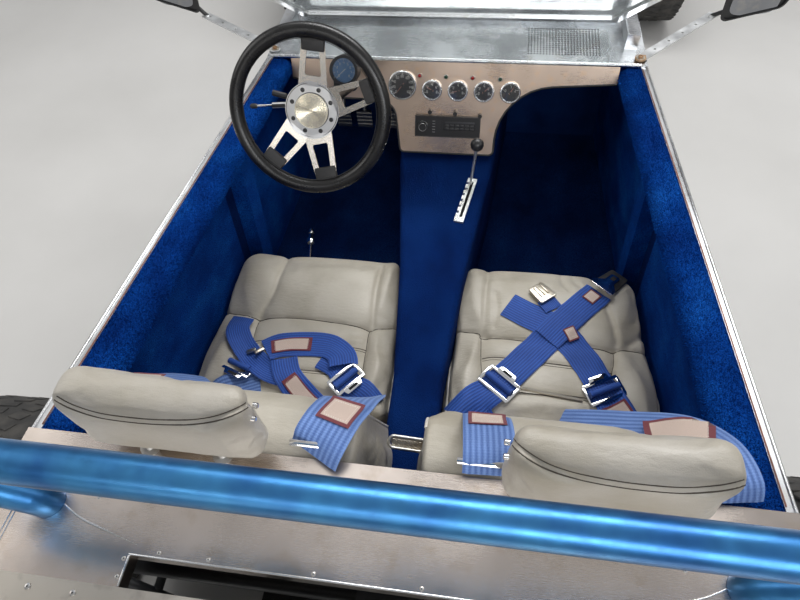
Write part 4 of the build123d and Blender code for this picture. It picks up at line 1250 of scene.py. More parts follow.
def rounded_outline(corners: Sequence[tuple[float, float, float]],
                    steps: int = 5) -> list[tuple[float, float]]:
    """An outline whose corners are arcs.

    Args:
        corners: X, Y and radius of each corner, counter-clockwise.
        steps: Straight pieces in each arc.

    Returns:
        The outline's points.
    """
    outline = []
    count = len(corners)
    for i, (x, y, radius) in enumerate(corners):
        here = Vector((x, y))
        before = (Vector(corners[i - 1][:2]) - here).normalized()
        after = (Vector(corners[(i + 1) % count][:2]) - here).normalized()
        half = before.angle(after) / 2
        if radius < 1e-6 or half > math.pi / 2 - 0.02:
            outline.append((x, y))
            continue
        middle = here + (before + after).normalized() * radius / math.sin(half)
        first, last = (here + side * radius / math.tan(half) - middle for side in (before, after))
        turn = first.angle_signed(last)
        for k in range(steps + 1):
            spoke = first.copy()
            spoke.rotate(Matrix.Rotation(-turn * k / steps, 2))
            outline.append(tuple(middle + spoke))
    return outline


@dataclass
class Padding:
    """A padded piece: a rounded form, swollen by cloth simulation, with its seams pulled in."""

    name: str
    nodes: tuple[str, ...]
    outline: tuple[tuple[float, float, float], ...]
    low: float
    high: float
    seams: tuple[Seam, ...]
    place: Matrix | None = None
    facing: Point = (0.0, 0.0, 1.0)
    rim: float = 0.022
    voxel: float = 0.008
    swell: float = 0.010
    pressure: float = 4.0
    hold: float = 0.012
    far: float = 1.5
    frames: int = 20
    fill: float = 0.6
    finish: Finish = Finish.SEAT_VINYL
    raised: tuple[tuple[Point, float, float], ...] = ()
    rest: Point | None = None
    thing: bpy.types.Object | None = None
    tree: BVHTree | None = None

    def form(self) -> bpy.types.Object:
        """The pad's plain form: its outline thickened, rounded and remeshed evenly."""
        shape = Shape().plate(Matrix.Translation((0, 0, self.low)), rounded_outline(self.outline),
                              self.high - self.low, self.rim)
        thing = bpy.data.objects.new(self.name, shape.mesh(self.name))
        bpy.context.scene.collection.objects.link(thing)
        thing.data.transform(self.place or Matrix())
        even = thing.modifiers.new("even", "REMESH")
        even.mode = "VOXEL"
        even.voxel_size = self.voxel
        return applied(thing)

    @staticmethod
    def rows_of(values: bpy.types.bpy_prop_collection, key: str) -> np.ndarray:
        """A three-part value of every vertex, one row each."""
        flat = np.empty(len(values) * 3)
        values.foreach_get(key, flat)
        return flat.reshape(-1, 3)

    def points(self) -> np.ndarray:
        """The piece's vertices, one row each."""
        return self.rows_of(self.thing.data.vertices, "co")

    def normals(self) -> np.ndarray:
        """The normals at the piece's vertices, one row each."""
        return self.rows_of(self.thing.data.vertex_normals, "vector")

    def move_to(self, points: np.ndarray) -> None:
        """Puts the piece's vertices at new points."""
        self.thing.data.vertices.foreach_set("co", points.ravel())
        self.thing.data.update()

    def distance(self, points: np.ndarray, path: Sequence[Vector]) -> np.ndarray:
        """How far each point is from a path, seen along the facing direction."""
        view = np.array(Vector(self.facing).normalized())
        flat = points - np.outer(points @ view, view)
        knots = np.array([tuple(p) for p in path])
        knots = knots - np.outer(knots @ view, view)
        nearest = np.full(len(points), 9.0)
        for a, b in zip(knots, knots[1:]):
            run = b - a
            share = np.clip((flat - a) @ run / max(run @ run, 1e-12), 0.0, 1.0)
            nearest = np.minimum(nearest, np.linalg.norm(flat - a - share[:, None] * run, axis=1))
        return nearest

    def pull_in(self, broad: bool) -> None:
        """Draws the cover in along its seams: broadly before the swelling, and sharply after it."""
        points, normals = self.points(), self.normals()
        view = np.array(Vector(self.facing).normalized())
        seen = np.clip((normals @ view) * 2.5, 0.0, 1.0)
        move = np.zeros(len(points))
        if broad:
            for centre, reach, height in self.raised:
                gap = np.linalg.norm((points - np.array(centre)) * (1, 1, 0), axis=1) / reach
                move += height * np.exp(-gap ** 2)
        for seam in self.seams:
            if seam.line is Line.PIPED:
                continue
            gap = self.distance(points, seam.points(0.02))
            if broad:
                move -= seam.depth * np.exp(-gap / seam.pull)
            elif seam.line is Line.CREASE:
                move -= 0.4 * seam.depth * np.exp(-(gap / 0.007) ** 2)
            else:
                sharp = 0.0045 if seam.line is Line.DOUBLE else 0.0038
                move -= 0.35 * seam.depth * np.exp(-(gap / sharp) ** 2)
        self.move_to(points + normals * (move * seen)[:, None])

    def inflate(self) -> None:
        """Swells the cover with a cloth simulation, held where it rests on something."""
        before = self.points()
        low = before @ np.array(Vector(self.rest or self.facing).normalized())
        held = np.nonzero(low < low.min() + self.hold)[0]
        group = self.thing.vertex_groups.new(name="held")
        group.add([int(i) for i in held], 1.0, "REPLACE")
        cloth = self.thing.modifiers.new("swelling", "CLOTH")
        settings = cloth.settings
        settings.quality = 3
        settings.mass = 0.3
        settings.tension_stiffness = settings.compression_stiffness = 14.0
        settings.bending_stiffness = 0.6
        settings.use_pressure = True
        settings.uniform_pressure_force = self.pressure
        settings.effector_weights.gravity = 0.0
        settings.vertex_group_mass = "held"
        cloth.collision_settings.use_collision = False
        scene = bpy.context.scene
        for number in range(1, self.frames + 1):
            scene.frame_set(number)
        applied(self.thing)
        self.thing.vertex_groups.clear()
        scene.frame_set(1)
        move = self.points() - before
        size = np.linalg.norm(move, axis=1)
        share = np.minimum(1.0, self.swell / np.maximum(size, 1e-9))
        self.move_to(before + move * share[:, None])

    def drop(self, point: Vector, lift: float = 0.0) -> Vector:
        """The place on the cover under a point, raised along the cover's normal."""
        view = Vector(self.facing).normalized()
        start = Vector(point) + view * (self.far - Vector(point).dot(view))
        hit, normal, _, _ = self.tree.ray_cast(start, -view)
        if hit is None:
            hit, normal, _, _ = self.tree.find_nearest(Vector(point))
        return hit + normal * lift

    def sew(self) -> None:
        """Lays dark lines of painted shade in the sewn seams' grooves, and a white cord along the piped ones."""
        # The threads shape holds dark lines of painted shade where the seams' grooves fall into shadow, not sewn
        # thread
        threads, cords = Shape(), Shape()
        for seam in self.seams:
            path = seam.points()
            offsets = {Line.GROOVE: (0.0,), Line.STITCHED: (0.0,), Line.DOUBLE: (-0.0036, 0.0036)}
            for offset in offsets.get(seam.line, ()):
                line = []
                for i, point in enumerate(path):
                    ahead = (path[min(i + 1, len(path) - 1)] - path[max(i - 1, 0)]).normalized()
                    side = ahead.cross(Vector(self.facing).normalized())
                    line.append(self.drop(point + side * offset, -0.0002))
                radius = 0.0013 if seam.line is Line.GROOVE else 0.0011
                threads.tube(line, radius, 6)
            if seam.line is Line.PIPED:
                cords.tube([self.drop(p, 0.0006) for p in path], 0.0028, 8)
        if threads.faces:
            # The seam lines' dark finish is painted shade
            threads.piece(f"{self.name}_threads", Finish.SEAM, BODY, "seat_vinyl", ROUNDED)
        if cords.faces:
            cords.piece(f"{self.name}_piping", Finish.PIPING, BODY, "seat_vinyl", ROUNDED)

    def build(self) -> bpy.types.Object:
        """Makes the pad, replaces its plain solids, and lays its seams' painted shade and its cords."""
        self.thing = self.form()
        self.pull_in(True)
        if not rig.quick():
            self.inflate()
        finer = self.thing.modifiers.new("finer", "SUBSURF")
        finer.levels = finer.render_levels = 1
        applied(self.thing)
        self.pull_in(False)
        self.tree = BVHTree.FromObject(self.thing, bpy.context.evaluated_depsgraph_get())
        dressed(self.thing, self.finish, BODY, "seat_vinyl", ROUNDED)
        if self.nodes:
            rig.replaces(self.thing, *self.nodes)
        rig.padded(self.thing, fill=self.fill)
        self.sew()
        return self.thing


# Cushions

SEAT_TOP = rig.box("passenger_cushion")[1][2]
SEAT_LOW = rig.box("passenger_cushion")[0][2]
SEAT_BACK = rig.box("passenger_cushion")[0][1]

PASSENGER_SEAMS = (
    Seam(Line.GROOVE, ((0.066, -0.712), (0.136, -0.721), (0.150, -0.733), (0.30, -0.741), (0.436, -0.743),
                       (0.469, -0.744), (0.50, -0.733), (0.566, -0.736)), 0.013, 0.026),
    Seam(Line.STITCHED, ((0.142, -0.732), (0.144, -0.791), (0.149, -0.862), (0.155, -0.98)), 0.012, 0.020),
    Seam(Line.STITCHED, ((0.471, -0.744), (0.466, -0.785), (0.459, -0.825), (0.452, -0.98)), 0.012, 0.020),
    Seam(Line.DOUBLE, ((0.148, -0.802), (0.191, -0.799), (0.318, -0.805), (0.462, -0.812)), 0.007, 0.014),
    Seam(Line.DOUBLE, ((0.151, -0.876), (0.239, -0.883), (0.379, -0.889), (0.456, -0.893)), 0.007, 0.014),
    Seam(Line.DOUBLE, ((0.155, -0.950), (0.242, -0.954), (0.436, -0.959), (0.453, -0.960)), 0.007, 0.014),
    Seam(Line.CREASE, ((0.150, -0.509), (0.146, -0.597), (0.146, -0.724)), 0.007, 0.016),
    Seam(Line.CREASE, ((0.347, -0.520), (0.352, -0.545), (0.366, -0.572)), 0.006, 0.009),
    Seam(Line.CREASE, ((0.378, -0.522), (0.388, -0.545), (0.404, -0.566)), 0.006, 0.009),
    Seam(Line.CREASE, ((0.432, -0.512), (0.450, -0.590), (0.474, -0.680), (0.480, -0.722)), 0.009, 0.014),
    Seam(Line.CREASE, ((0.527, -0.562), (0.537, -0.620), (0.533, -0.652)), 0.006, 0.010),
    Seam(Line.CREASE, ((0.510, -0.722), (0.532, -0.704), (0.556, -0.684)), 0.008, 0.010),
    Seam(Line.CREASE, ((0.170, -0.600), (0.178, -0.650), (0.172, -0.704)), 0.004, 0.012),
    Seam(Line.PIPED, ((0.088, -0.508), (0.073, -0.566), (0.068, -0.631), (0.069, -0.722), (0.070, -0.87),
                      (0.070, -0.97))),
    Seam(Line.PIPED, ((0.560, -0.745), (0.566, -0.784), (0.567, -0.83), (0.568, -0.965))),
)

DRIVER_SEAMS = (
    Seam(Line.GROOVE, ((-0.566, -0.714), (-0.490, -0.726), (-0.459, -0.732), (-0.317, -0.729),
                       (-0.151, -0.737), (-0.136, -0.733), (-0.070, -0.718)), 0.013, 0.026),
    Seam(Line.STITCHED, ((-0.452, -0.731), (-0.447, -0.807), (-0.442, -0.98)), 0.012, 0.020),
    Seam(Line.STITCHED, ((-0.150, -0.737), (-0.147, -0.797), (-0.144, -0.876), (-0.146, -0.98)),
         0.012, 0.020),
    Seam(Line.DOUBLE, ((-0.450, -0.812), (-0.30, -0.806), (-0.148, -0.808)), 0.006, 0.014),
    Seam(Line.DOUBLE, ((-0.447, -0.890), (-0.30, -0.886), (-0.146, -0.886)), 0.006, 0.014),
    Seam(Line.CREASE, ((-0.426, -0.510), (-0.429, -0.653), (-0.450, -0.722)), 0.010, 0.018),
    Seam(Line.CREASE, ((-0.146, -0.530), (-0.149, -0.611), (-0.141, -0.727)), 0.010, 0.016),
    Seam(Line.CREASE, ((-0.162, -0.790), (-0.185, -0.800), (-0.215, -0.796)), 0.003, 0.006),
    Seam(Line.CREASE, ((-0.160, -0.830), (-0.188, -0.838), (-0.225, -0.830)), 0.003, 0.006),
    Seam(Line.CREASE, ((-0.158, -0.762), (-0.180, -0.770), (-0.205, -0.768)), 0.003, 0.006),
    Seam(Line.PIPED, ((-0.098, -0.509), (-0.083, -0.580), (-0.076, -0.640), (-0.072, -0.700),
                      (-0.069, -0.73))),
    Seam(Line.PIPED, ((-0.549, -0.525), (-0.562, -0.612), (-0.563, -0.712), (-0.567, -0.748),
                      (-0.571, -0.96))),
    Seam(Line.PIPED, ((-0.069, -0.75), (-0.069, -0.86), (-0.070, -0.97))),
)


@dataclass
class Cushions:
    """The two seat cushions, wider at the back, with rounded front corners."""

    rear: float = SEAT_BACK
    front: float = -0.496
    sunk: float = 0.004

    def outline(self, side: Side) -> tuple[tuple[float, float, float], ...]:
        """Corners of a cushion's plan with their radii, counter-clockwise."""
        if side is Side.RIGHT:
            return ((0.068, self.rear, 0.012), (0.572, self.rear, 0.012), (0.569, -0.80, 0.0),
                    (0.557, -0.66, 0.2), (0.546, self.front - 0.004, 0.062), (0.088, self.front, 0.028),
                    (0.067, -0.60, 0.2))
        return ((-0.574, self.rear, 0.012), (-0.068, self.rear, 0.012), (-0.068, -0.70, 0.0),
                (-0.092, self.front, 0.024), (-0.554, self.front - 0.004, 0.045), (-0.566, -0.70, 0.0))

    def build(self) -> None:
        """Makes both cushions."""
        swell = 0.011
        for name, side, seams, raised in (
                ("passenger_cushion", Side.RIGHT, PASSENGER_SEAMS,
                 (((0.105, -0.86, 0), 0.05, 0.008), ((0.515, -0.86, 0), 0.06, 0.010),
                  ((0.32, -0.62, 0), 0.16, 0.006))),
                ("driver_cushion", Side.LEFT, DRIVER_SEAMS,
                 (((-0.105, -0.86, 0), 0.05, 0.010), ((-0.51, -0.86, 0), 0.06, 0.010),
                  ((-0.30, -0.62, 0), 0.16, 0.008), ((-0.50, -0.60, 0), 0.08, 0.006)))):
            PADS[name] = Padding(f"{name}_cover", (name,), self.outline(side), SEAT_LOW + self.sunk,
                                 SEAT_TOP - self.sunk, seams, swell=swell, raised=raised, rim=0.026)
            PADS[name].build()


# Backrests


@dataclass
class Backrests:
    """The two backrests, which lean on the bulkhead, with a stitched panel between rolled bolsters."""

    foot: float = SEAT_BACK
    lean: float = 0.150
    rise: float = 0.400
    inner: float = 0.042
    outer: float = 0.498
    bolster: float = 0.085

    def section(self) -> tuple[tuple[float, float, float], ...]:
        """The backrest's side view as Y and Z with corner radii."""
        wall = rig.box("passenger_backrest")[0][1] + 0.004
        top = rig.box("passenger_backrest")[1][2] - 0.004
        face = self.foot - 0.012
        return ((wall, SEAT_LOW + 0.01, 0.0), (face, SEAT_LOW + 0.01, 0.0), (face, SEAT_TOP, 0.05),
                (self.foot - self.lean - 0.008, top, 0.040), (wall, top, 0.01))

    def facing(self) -> Point:
        """Out of the backrest's leaning front."""
        return tuple(Vector((0.0, self.rise, self.lean)).normalized())

    def across(self, x: float, share: float) -> tuple[float, float, float]:
        """A point on the front at a share of its height, past 1 for the top's flat."""
        climb = min(share, 1.0)
        back = max(share - 1.0, 0.0)
        return (x, self.foot - self.lean * climb - back, SEAT_TOP + self.rise * climb)

    def seams(self, side: Side) -> tuple[Seam, ...]:
        """The bolsters' seams, the panel's channels and the outer cords."""
        way = side.value
        inner, outer = way * (self.inner + self.bolster), way * (self.outer - self.bolster)
        made = [Seam(Line.DOUBLE, tuple(self.across(x, s) for s in (-0.1, 0.3, 0.7, 1.0)), 0.010, 0.016)
                for x in (inner, outer)]
        made += [Seam(Line.DOUBLE, (self.across(inner, s), self.across((inner + outer) / 2, s),
                                    self.across(outer, s)), 0.006, 0.014) for s in (0.2, 0.48, 0.76)]
        made += [Seam(Line.PIPED, tuple(self.across(way * x, s) for s in (0.0, 0.35, 0.7, 0.98)))
                 for x in (self.inner + 0.012, self.outer - 0.012)]
        return tuple(made)

    def build(self) -> None:
        """Makes both backrests."""
        for name, side in (("passenger_backrest", Side.RIGHT), ("driver_backrest", Side.LEFT)):
            edges = sorted((side.value * self.inner, side.value * self.outer))
            turned = Matrix(((0, 0, 1, 0), (1, 0, 0, 0), (0, 1, 0, 0), (0, 0, 0, 1)))
            pad = Padding(f"{name}_cover", (name,), self.section(), edges[0], edges[1], self.seams(side),
                          place=turned, facing=self.facing(), rim=0.030, swell=0.012)
            PADS[name] = pad
            pad.build()


# Head pads


@dataclass
class HeadPads:
    """Two pillow-like head pads on round posts, each with a double seam round its top's rear edge."""

    reach: float = 0.313
    half: float = 0.1405
    thick: float = 0.064
    low: float = 0.835
    high: float = 0.984
    skew: float = 0.010
    post_radius: float = 0.008
    post_gap: float = 0.060
    seam_height: float = 0.955

    def seams(self, middle: float, rear: float, side: Side) -> tuple[Seam, ...]:
        """The double seam: round the rear edge, and forward at both ends."""
        reach = side.value * (self.half - 0.004)
        line = ((1.0, 0.020), (0.80, 0.010), (0.50, 0.002), (0.17, 0.0), (-0.12, 0.001), (-0.42, 0.005),
                (-0.62, 0.011), (-0.76, 0.019), (-0.90, 0.031), (-1.0, 0.042))
        path = tuple((middle + reach * share, rear + back, self.seam_height) for share, back in line)
        return (Seam(Line.DOUBLE, path, 0.004, 0.009),)

    def build(self) -> None:
        """Makes both pads, their posts and the screws in their facing ends."""
        posts = Shape()
        screws = Shape()
        box_low, box_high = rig.box("headrests")
        for side, rear in ((Side.LEFT, box_high[1] - 0.062), (Side.RIGHT, box_low[1])):
            middle = side.value * self.reach
            front = rear + self.thick
            turned = side.value * self.skew / 2
            flat = ((middle - self.half, rear, 0.020), (middle + self.half, rear, 0.020),
                    (middle + self.half, front + turned, 0.026), (middle - self.half, front - turned, 0.026))
            toward = Vector(Studio.eye) - Vector((middle, rear + 0.02, self.seam_height))
            pad = Padding(f"head_pad_{side.name.lower()}", ("headrests",), flat, self.low, self.high,
                          self.seams(middle, rear, side), rest=(0.0, -0.62, 0.78), facing=tuple(toward),
                          rim=0.022, voxel=0.005, swell=0.006, finish=Finish.PAD_VINYL)
            PADS[pad.name] = pad
            pad.build()
            for k in (-1, 1):
                foot = Vector((middle + k * self.post_gap, -1.260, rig.box("rear_deck")[1][2]))
                posts.lathe([(0, 0), (0.016, 0), (0.016, 0.003), (self.post_radius, 0.005),
                             (self.post_radius, self.low - foot.z + 0.01), (0, self.low - foot.z + 0.01)],
                            Matrix.Translation(foot), 20)
            end = middle - side.value * (self.half + 0.004)
            for k in (0, 1):
                spot = (end, rear + 0.026 + 0.017 * k, self.high - 0.044 + 0.006 * k)
                screws.lathe([(0, -0.006), (0.0042, -0.006), (0.0042, 0.0005), (0.0026, 0.0018), (0, 0.0020)],
                             placed(spot, (-side.value, 0, 0)), 12)
        posts.piece("head_pad_posts", Finish.STEEL, BODY, "steel")
        screws.piece("head_pad_screws", Finish.CHROME, BODY, "chrome_trim")


PADS: dict[str, Padding] = {}


# Harnesses

# Heights from which straps are laid down: over the cushions but under the backrests' tops, and over both
OVER_CUSHIONS = 0.78
OVER_BACKRESTS = 0.95


@dataclass
class Strap:
    """A length of webbing that lies on the cushions and on the straps under it.

    Its points give X, Y and how far it stands off what it lies on.
    """

    name: str
    path: tuple[tuple[float, float, float], ...]
    width: float = 0.076
    thick: float = 0.0018
    finish: Finish = Finish.WEBBING
    across: int = 9
    curl: float = 0.0
    free: bool = False
    above: float = OVER_CUSHIONS

    def rows(self, under: Sequence[BVHTree]) -> list[list[Vector]]:
        """Rows of points across the strap, from its start to its end, on its underside."""
        middle = smooth_path(self.path, 0.009)
        count = len(middle)
        rows = []
        for i, point in enumerate(middle):
            ahead = middle[min(i + 1, count - 1)] - middle[max(i - 1, 0)]
            if not self.free:
                ahead.z = 0.0
            side = ahead.cross(Vector((0, 0, 1))).normalized()
            row = []
            for k in range(self.across):
                share = 2 * k / (self.across - 1) - 1
                place = point + side * share * self.width / 2
                height = self.curl * share * share
                if self.free:
                    row.append(place + Vector((0, 0, height)))
                    continue
                rest = max(top_of(tree, place, self.above) for tree in under)
                row.append(Vector((place.x, place.y, rest + point.z + height)))
            rows.append(row)
        return rows if self.free else self.settled(rows)

    def settled(self, rows: list[list[Vector]]) -> list[list[Vector]]:
        """The rows drawn taut: the heights are averaged along and across, and never sink below the start."""
        low = np.array([[p.z for p in row] for row in rows])
        height = low.copy()
        for _ in range(5):
            padded = np.pad(height, 1, mode="edge")
            mean = (padded[:-2, 1:-1] + padded[2:, 1:-1] + padded[1:-1, :-2] + padded[1:-1, 2:]) / 4
            height = np.maximum(low, 0.25 * height + 0.75 * mean)
        for row, heights in zip(rows, height):
            for point, z in zip(row, heights):
                point.z = float(z)
        return rows

    def shape(self, under: Sequence[BVHTree]) -> Shape:
        """The strap as a closed thin form with U across it and V along it."""
        rows = self.rows(under)
        shape = Shape()
        top = [[p + self.lift(rows, i, k) for k, p in enumerate(row)] for i, row in enumerate(rows)]
        wide = self.across
        points = [p for row in rows for p in row] + [p for row in top for p in row]
        offset = len(rows) * wide
        steps = [(b[wide // 2] - a[wide // 2]).length for a, b in zip(rows, rows[1:])]
        runs = np.concatenate([[0.0], np.cumsum(steps)])
        faces, uvs = [], []
        for i in range(len(rows) - 1):
            for k in range(wide - 1):
                quad = (i * wide + k, i * wide + k + 1, (i + 1) * wide + k + 1, (i + 1) * wide + k)
                spot = [((q % wide) / (wide - 1), float(runs[q // wide])) for q in quad]
                faces += [quad, tuple(offset + q for q in quad[::-1])]
                uvs += [spot, spot[::-1]]
            for k in (0, wide - 1):
                a, b = i * wide + k, (i + 1) * wide + k
                faces.append((a, b, offset + b, offset + a))
                spot = [(k / (wide - 1), float(runs[j])) for j in (i, i + 1, i + 1, i)]
                uvs.append(spot)
        for i in (0, len(rows) - 1):
            for k in range(wide - 1):
                a = i * wide + k
                faces.append((a, a + 1, offset + a + 1, offset + a))
                uvs.append([(k / (wide - 1), float(runs[i])), ((k + 1) / (wide - 1), float(runs[i]))] * 2)
        return shape.add(points, faces, uvs)

    def lift(self, rows: list[list[Vector]], i: int, k: int) -> Vector:
        """From the underside to the top, along the surface's normal; the bound edges are thicker."""
        ahead = rows[min(i + 1, len(rows) - 1)][k] - rows[max(i - 1, 0)][k]
        side = rows[i][min(k + 1, self.across - 1)] - rows[i][max(k - 1, 0)]
        normal = side.cross(ahead).normalized()
        if normal.z < 0 and not self.free:
            normal = -normal
        edge = 1.25 if k in (1, self.across - 2) else 0.5 if k in (0, self.across - 1) else 1.0
        return normal * self.thick * edge

    def build(self, under: list[BVHTree]) -> bpy.types.Object:
        """Makes the strap, and adds it to what the next straps lie on."""
        thing = self.shape(under).piece(self.name, self.finish, BODY, "seat_vinyl", CREASED)
        under.append(BVHTree.FromObject(thing, bpy.context.evaluated_depsgraph_get()))
        return thing


def top_of(tree: BVHTree, point: Vector, above: float = OVER_CUSHIONS) -> float:
    """Height of a surface straight under a point at a height, or zero beside it."""
    hit = tree.ray_cast(Vector((point.x, point.y, above)), Vector((0, 0, -1)))[0]
    return hit.z if hit is not None else 0.0


@dataclass
class Fitting:
    """A pressed steel piece of a harness, laid flat at a spot with its Y along the strap."""

    place: Matrix
    width: float = 0.094

    def frame_bars(self, shape: Shape, length: float, thick: float = 0.0034) -> None:
        """Two side plates, joined by a bar across the strap at each end."""
        for side in (-1, 1):
            spot = self.place @ Matrix.Translation((side * (self.width / 2 - 0.004), 0, 0))
            shape.block(spot, (0.008, length, thick), 0.001)
        for side in (-1, 1):
            spot = self.place @ Matrix.Translation((0, side * length / 2, 0.0008))
            shape.block(spot, (self.width - 0.004, 0.0085, thick), 0.0012)

    def adjuster(self, shape: Shape, cloth: Shape, length: float = 0.046) -> None:
        """A slide adjuster: a frame, a rolled bar of webbing over its middle, and a slotted pull tab."""
        self.frame_bars(shape, length)
        reach = self.width / 2 - 0.009
        cloth.tube([self.place @ Vector((x, 0.0, 0.005)) for x in (-reach, 0.0, reach)], 0.0075, 12)
        spot = self.place @ Matrix.Translation((0, length / 2 + 0.004, 0.002))
        outer = rounded_outline(((-0.027, -0.004, 0.002), (0.027, -0.004, 0.002), (0.022, 0.012, 0.005),
                                 (-0.022, 0.012, 0.005)), 3)
        shape.plate(spot, outer, 0.0026, 0.0007)
        # The pull tab's slot is painted shade: a dark block where the opening falls into shadow
        SLOT_SHADE.block(spot @ Matrix.Translation((0, 0.004, 0.0028)), (0.026, 0.0065, 0.0008), 0.0002)


# Small parts of the fittings, gathered by finish
SLOT_SHADE = Shape()
TRAYS = Shape()
WORN_FITTINGS = Shape()
SHADOW_RODS = Shape()


@dataclass
class Patch:
    """A plain sewn patch on a strap, with no lettering."""

    name: str
    path: tuple[tuple[float, float, float], ...]
    width: float
    above: float = OVER_CUSHIONS

    def build(self, under: Sequence[BVHTree]) -> None:
        """Lays the patch on the strap, with its UV running from corner to corner."""
        strap = Strap(self.name, self.path, self.width, 0.0008, across=7, above=self.above)
        shape = strap.shape(under)
        longest = max(uv[1] for face in shape.uvs for uv in face)
        shape.uvs = [[(u, v / longest) for u, v in face] for face in shape.uvs]
        shape.piece(self.name, Finish.LABEL, BODY, "seat_vinyl", CREASED)
        self.stitch(strap, under)

    def stitch(self, strap: Strap, under: Sequence[BVHTree]) -> None:
        """Sews a row of short threads just inside the patch's edges."""
        rows = strap.rows(under)[1:-1]
        top = Vector((0, 0, strap.thick + 0.0004))
        loop = [row[1] + top for row in rows] + [row[-2] + top for row in reversed(rows)]
        if len(loop) > 3:
            beads(f"{self.name}_stitches", Lines(loop, closed=True), 0.0042, 0.0006, 0.7, Finish.PIPING,
                  BODY, "seat_vinyl", 2.4, 6)


@dataclass
class Harnesses:
    """The four-strap harness on each seat, left lying as the last person dropped it."""

    lift: float = 0.002

    def laid(self, *points: tuple[float, ...]) -> tuple[tuple[float, float, float], ...]:
        """Points of a strap that lies close, or as far up as a third number says."""
        return tuple((p[0], p[1], p[2] if len(p) > 2 else self.lift) for p in points)

    def strap(self, name: str, under: list[BVHTree], *points: tuple[float, ...],
              **sizes: float | Finish) -> None:
        """Lays a strap on what is under it."""
        Strap(name, self.laid(*points), **sizes).build(under)

    def patch(self, name: str, under: Sequence[BVHTree], width: float, *points: tuple[float, ...],
              above: float = OVER_CUSHIONS) -> None:
        """Sews a plain patch on a strap."""
        Patch(name, self.laid(*points), width, above).build(under)

    def spot(self, x: float, y: float, toward: tuple[float, float], under: Sequence[BVHTree],
             lift: float = 0.003) -> Matrix:
        """A place on the straps at X and Y, whose Y runs toward another point."""
        here = Vector((x, y, max(top_of(tree, Vector((x, y, 0))) for tree in under) + lift))
        ahead = Vector((*toward, 0.0)) - Vector((x, y, 0.0))
        reach = ahead.normalized() * 0.02
        beyond = max(top_of(tree, here + reach) for tree in under) + lift
        ahead = Vector((reach.x, reach.y, beyond - here.z)).normalized()
        side = ahead.cross(Vector((0, 0, 1)))
        return placed(here, side.cross(ahead), ahead)

    def passenger(self, under: list[BVHTree], steel: Shape, rolled: Shape) -> None:
        """The passenger's straps: two laps crossed on the cushion, with their fittings and patches."""
        self.strap("passenger_lap_under", under, (0.500, -0.985, 0.004), (0.478, -0.945),
                   (0.435, -0.865, 0.004), (0.388, -0.774), (0.326, -0.703), (0.255, -0.668),
                   (0.205, -0.640), curl=-0.0006)
        self.strap("passenger_buckle_tab", under, (0.322, -0.648, 0.002), (0.300, -0.618, 0.004), width=0.050)
        self.strap("passenger_lap_over", under, (0.092, -0.968, 0.012), (0.143, -0.917, 0.006),
                   (0.196, -0.868, 0.006), (0.299, -0.741), (0.394, -0.629), (0.440, -0.575, 0.004),
                   curl=-0.0006)
        self.strap("passenger_lap_sewn_end", under, (0.303, -0.737, 0.0008), (0.360, -0.669, 0.0008),
                   (0.398, -0.625, 0.0008), width=0.074)
        Fitting(self.spot(0.190, -0.875, (0.299, -0.741), under)).adjuster(steel, rolled)
        Fitting(self.spot(0.435, -0.868, (0.388, -0.774), under)).adjuster(steel, rolled)
        self.patch("passenger_patch_a", under, 0.062, (0.478, -0.945), (0.452, -0.900))
        self.patch("passenger_patch_b", under, 0.034, (0.407, -0.612), (0.432, -0.582))
        self.patch("passenger_patch_c", under, 0.030, (0.372, -0.733), (0.355, -0.703))
        self.latch(under, steel)
        self.strap("passenger_lap_tail_left", under, (0.150, -0.955, 0.004), (0.178, -0.985, 0.004),
                   (0.215, -1.010, 0.004), width=0.060)
        self.strap("passenger_lap_tail_right", under, (0.330, -0.995, 0.010), (0.380, -0.990, 0.016),
                   (0.440, -1.000, 0.012), (0.500, -1.015, 0.008), width=0.040, curl=0.004)
        bar = self.spot(0.322, -0.985, (0.30, -0.94), under, 0.008)
        steel.block(bar, (0.012, 0.060, 0.004), 0.0015)
        rod_path = [self.spot(x, y, (x, y + 0.1), under, 0.006).translation
                    for x, y in ((0.232, -0.882), (0.30, -0.886), (0.385, -0.896))]
        SHADOW_RODS.tube(rod_path, 0.004, 8)

    def latch(self, under: Sequence[BVHTree], steel: Shape) -> None:
        """The cam latch: a black tray, and the bright tongue that lies in it."""
        tray = self.spot(0.478, -0.535, (0.505, -0.503), under, 0.001)
        rim = rounded_outline(((-0.030, -0.040, 0.006), (0.030, -0.040, 0.006), (0.026, 0.034, 0.006),
                               (-0.026, 0.034, 0.006)), 3)
        TRAYS.plate(tray, rim, 0.012, 0.002)
        tongue = tray @ Matrix.Translation((0, -0.018, 0.0125))
        outline = rounded_outline(((-0.034, -0.046, 0.004), (0.034, -0.046, 0.004), (0.034, -0.030, 0.010),
                                   (0.014, -0.006, 0.010), (0.014, 0.030, 0.008), (-0.014, 0.030, 0.008),
                                   (-0.014, -0.006, 0.010), (-0.034, -0.030, 0.010)), 3)
        steel.plate(tongue, outline, 0.0034, 0.0008)
        # The tongue's slot is painted shade: a dark block in the opening
        SLOT_SHADE.block(tongue @ Matrix.Translation((0, 0.014, 0.0036)), (0.012, 0.018, 0.0010), 0.0003)
        buckle = self.spot(0.292, -0.604, (0.27, -0.578), under, 0.004)
        outline = rounded_outline(((-0.026, -0.026, 0.004), (0.026, -0.026, 0.004), (0.022, 0.030, 0.008),
                                   (-0.022, 0.030, 0.008)), 3)
        WORN_FITTINGS.plate(buckle, outline, 0.010, 0.002)
        for k in (-1, 0, 1):
            ridge = buckle @ Matrix.Translation((0.011 * k, 0.006, 0.011))
            WORN_FITTINGS.block(ridge, (0.004, 0.034, 0.005), 0.0015)

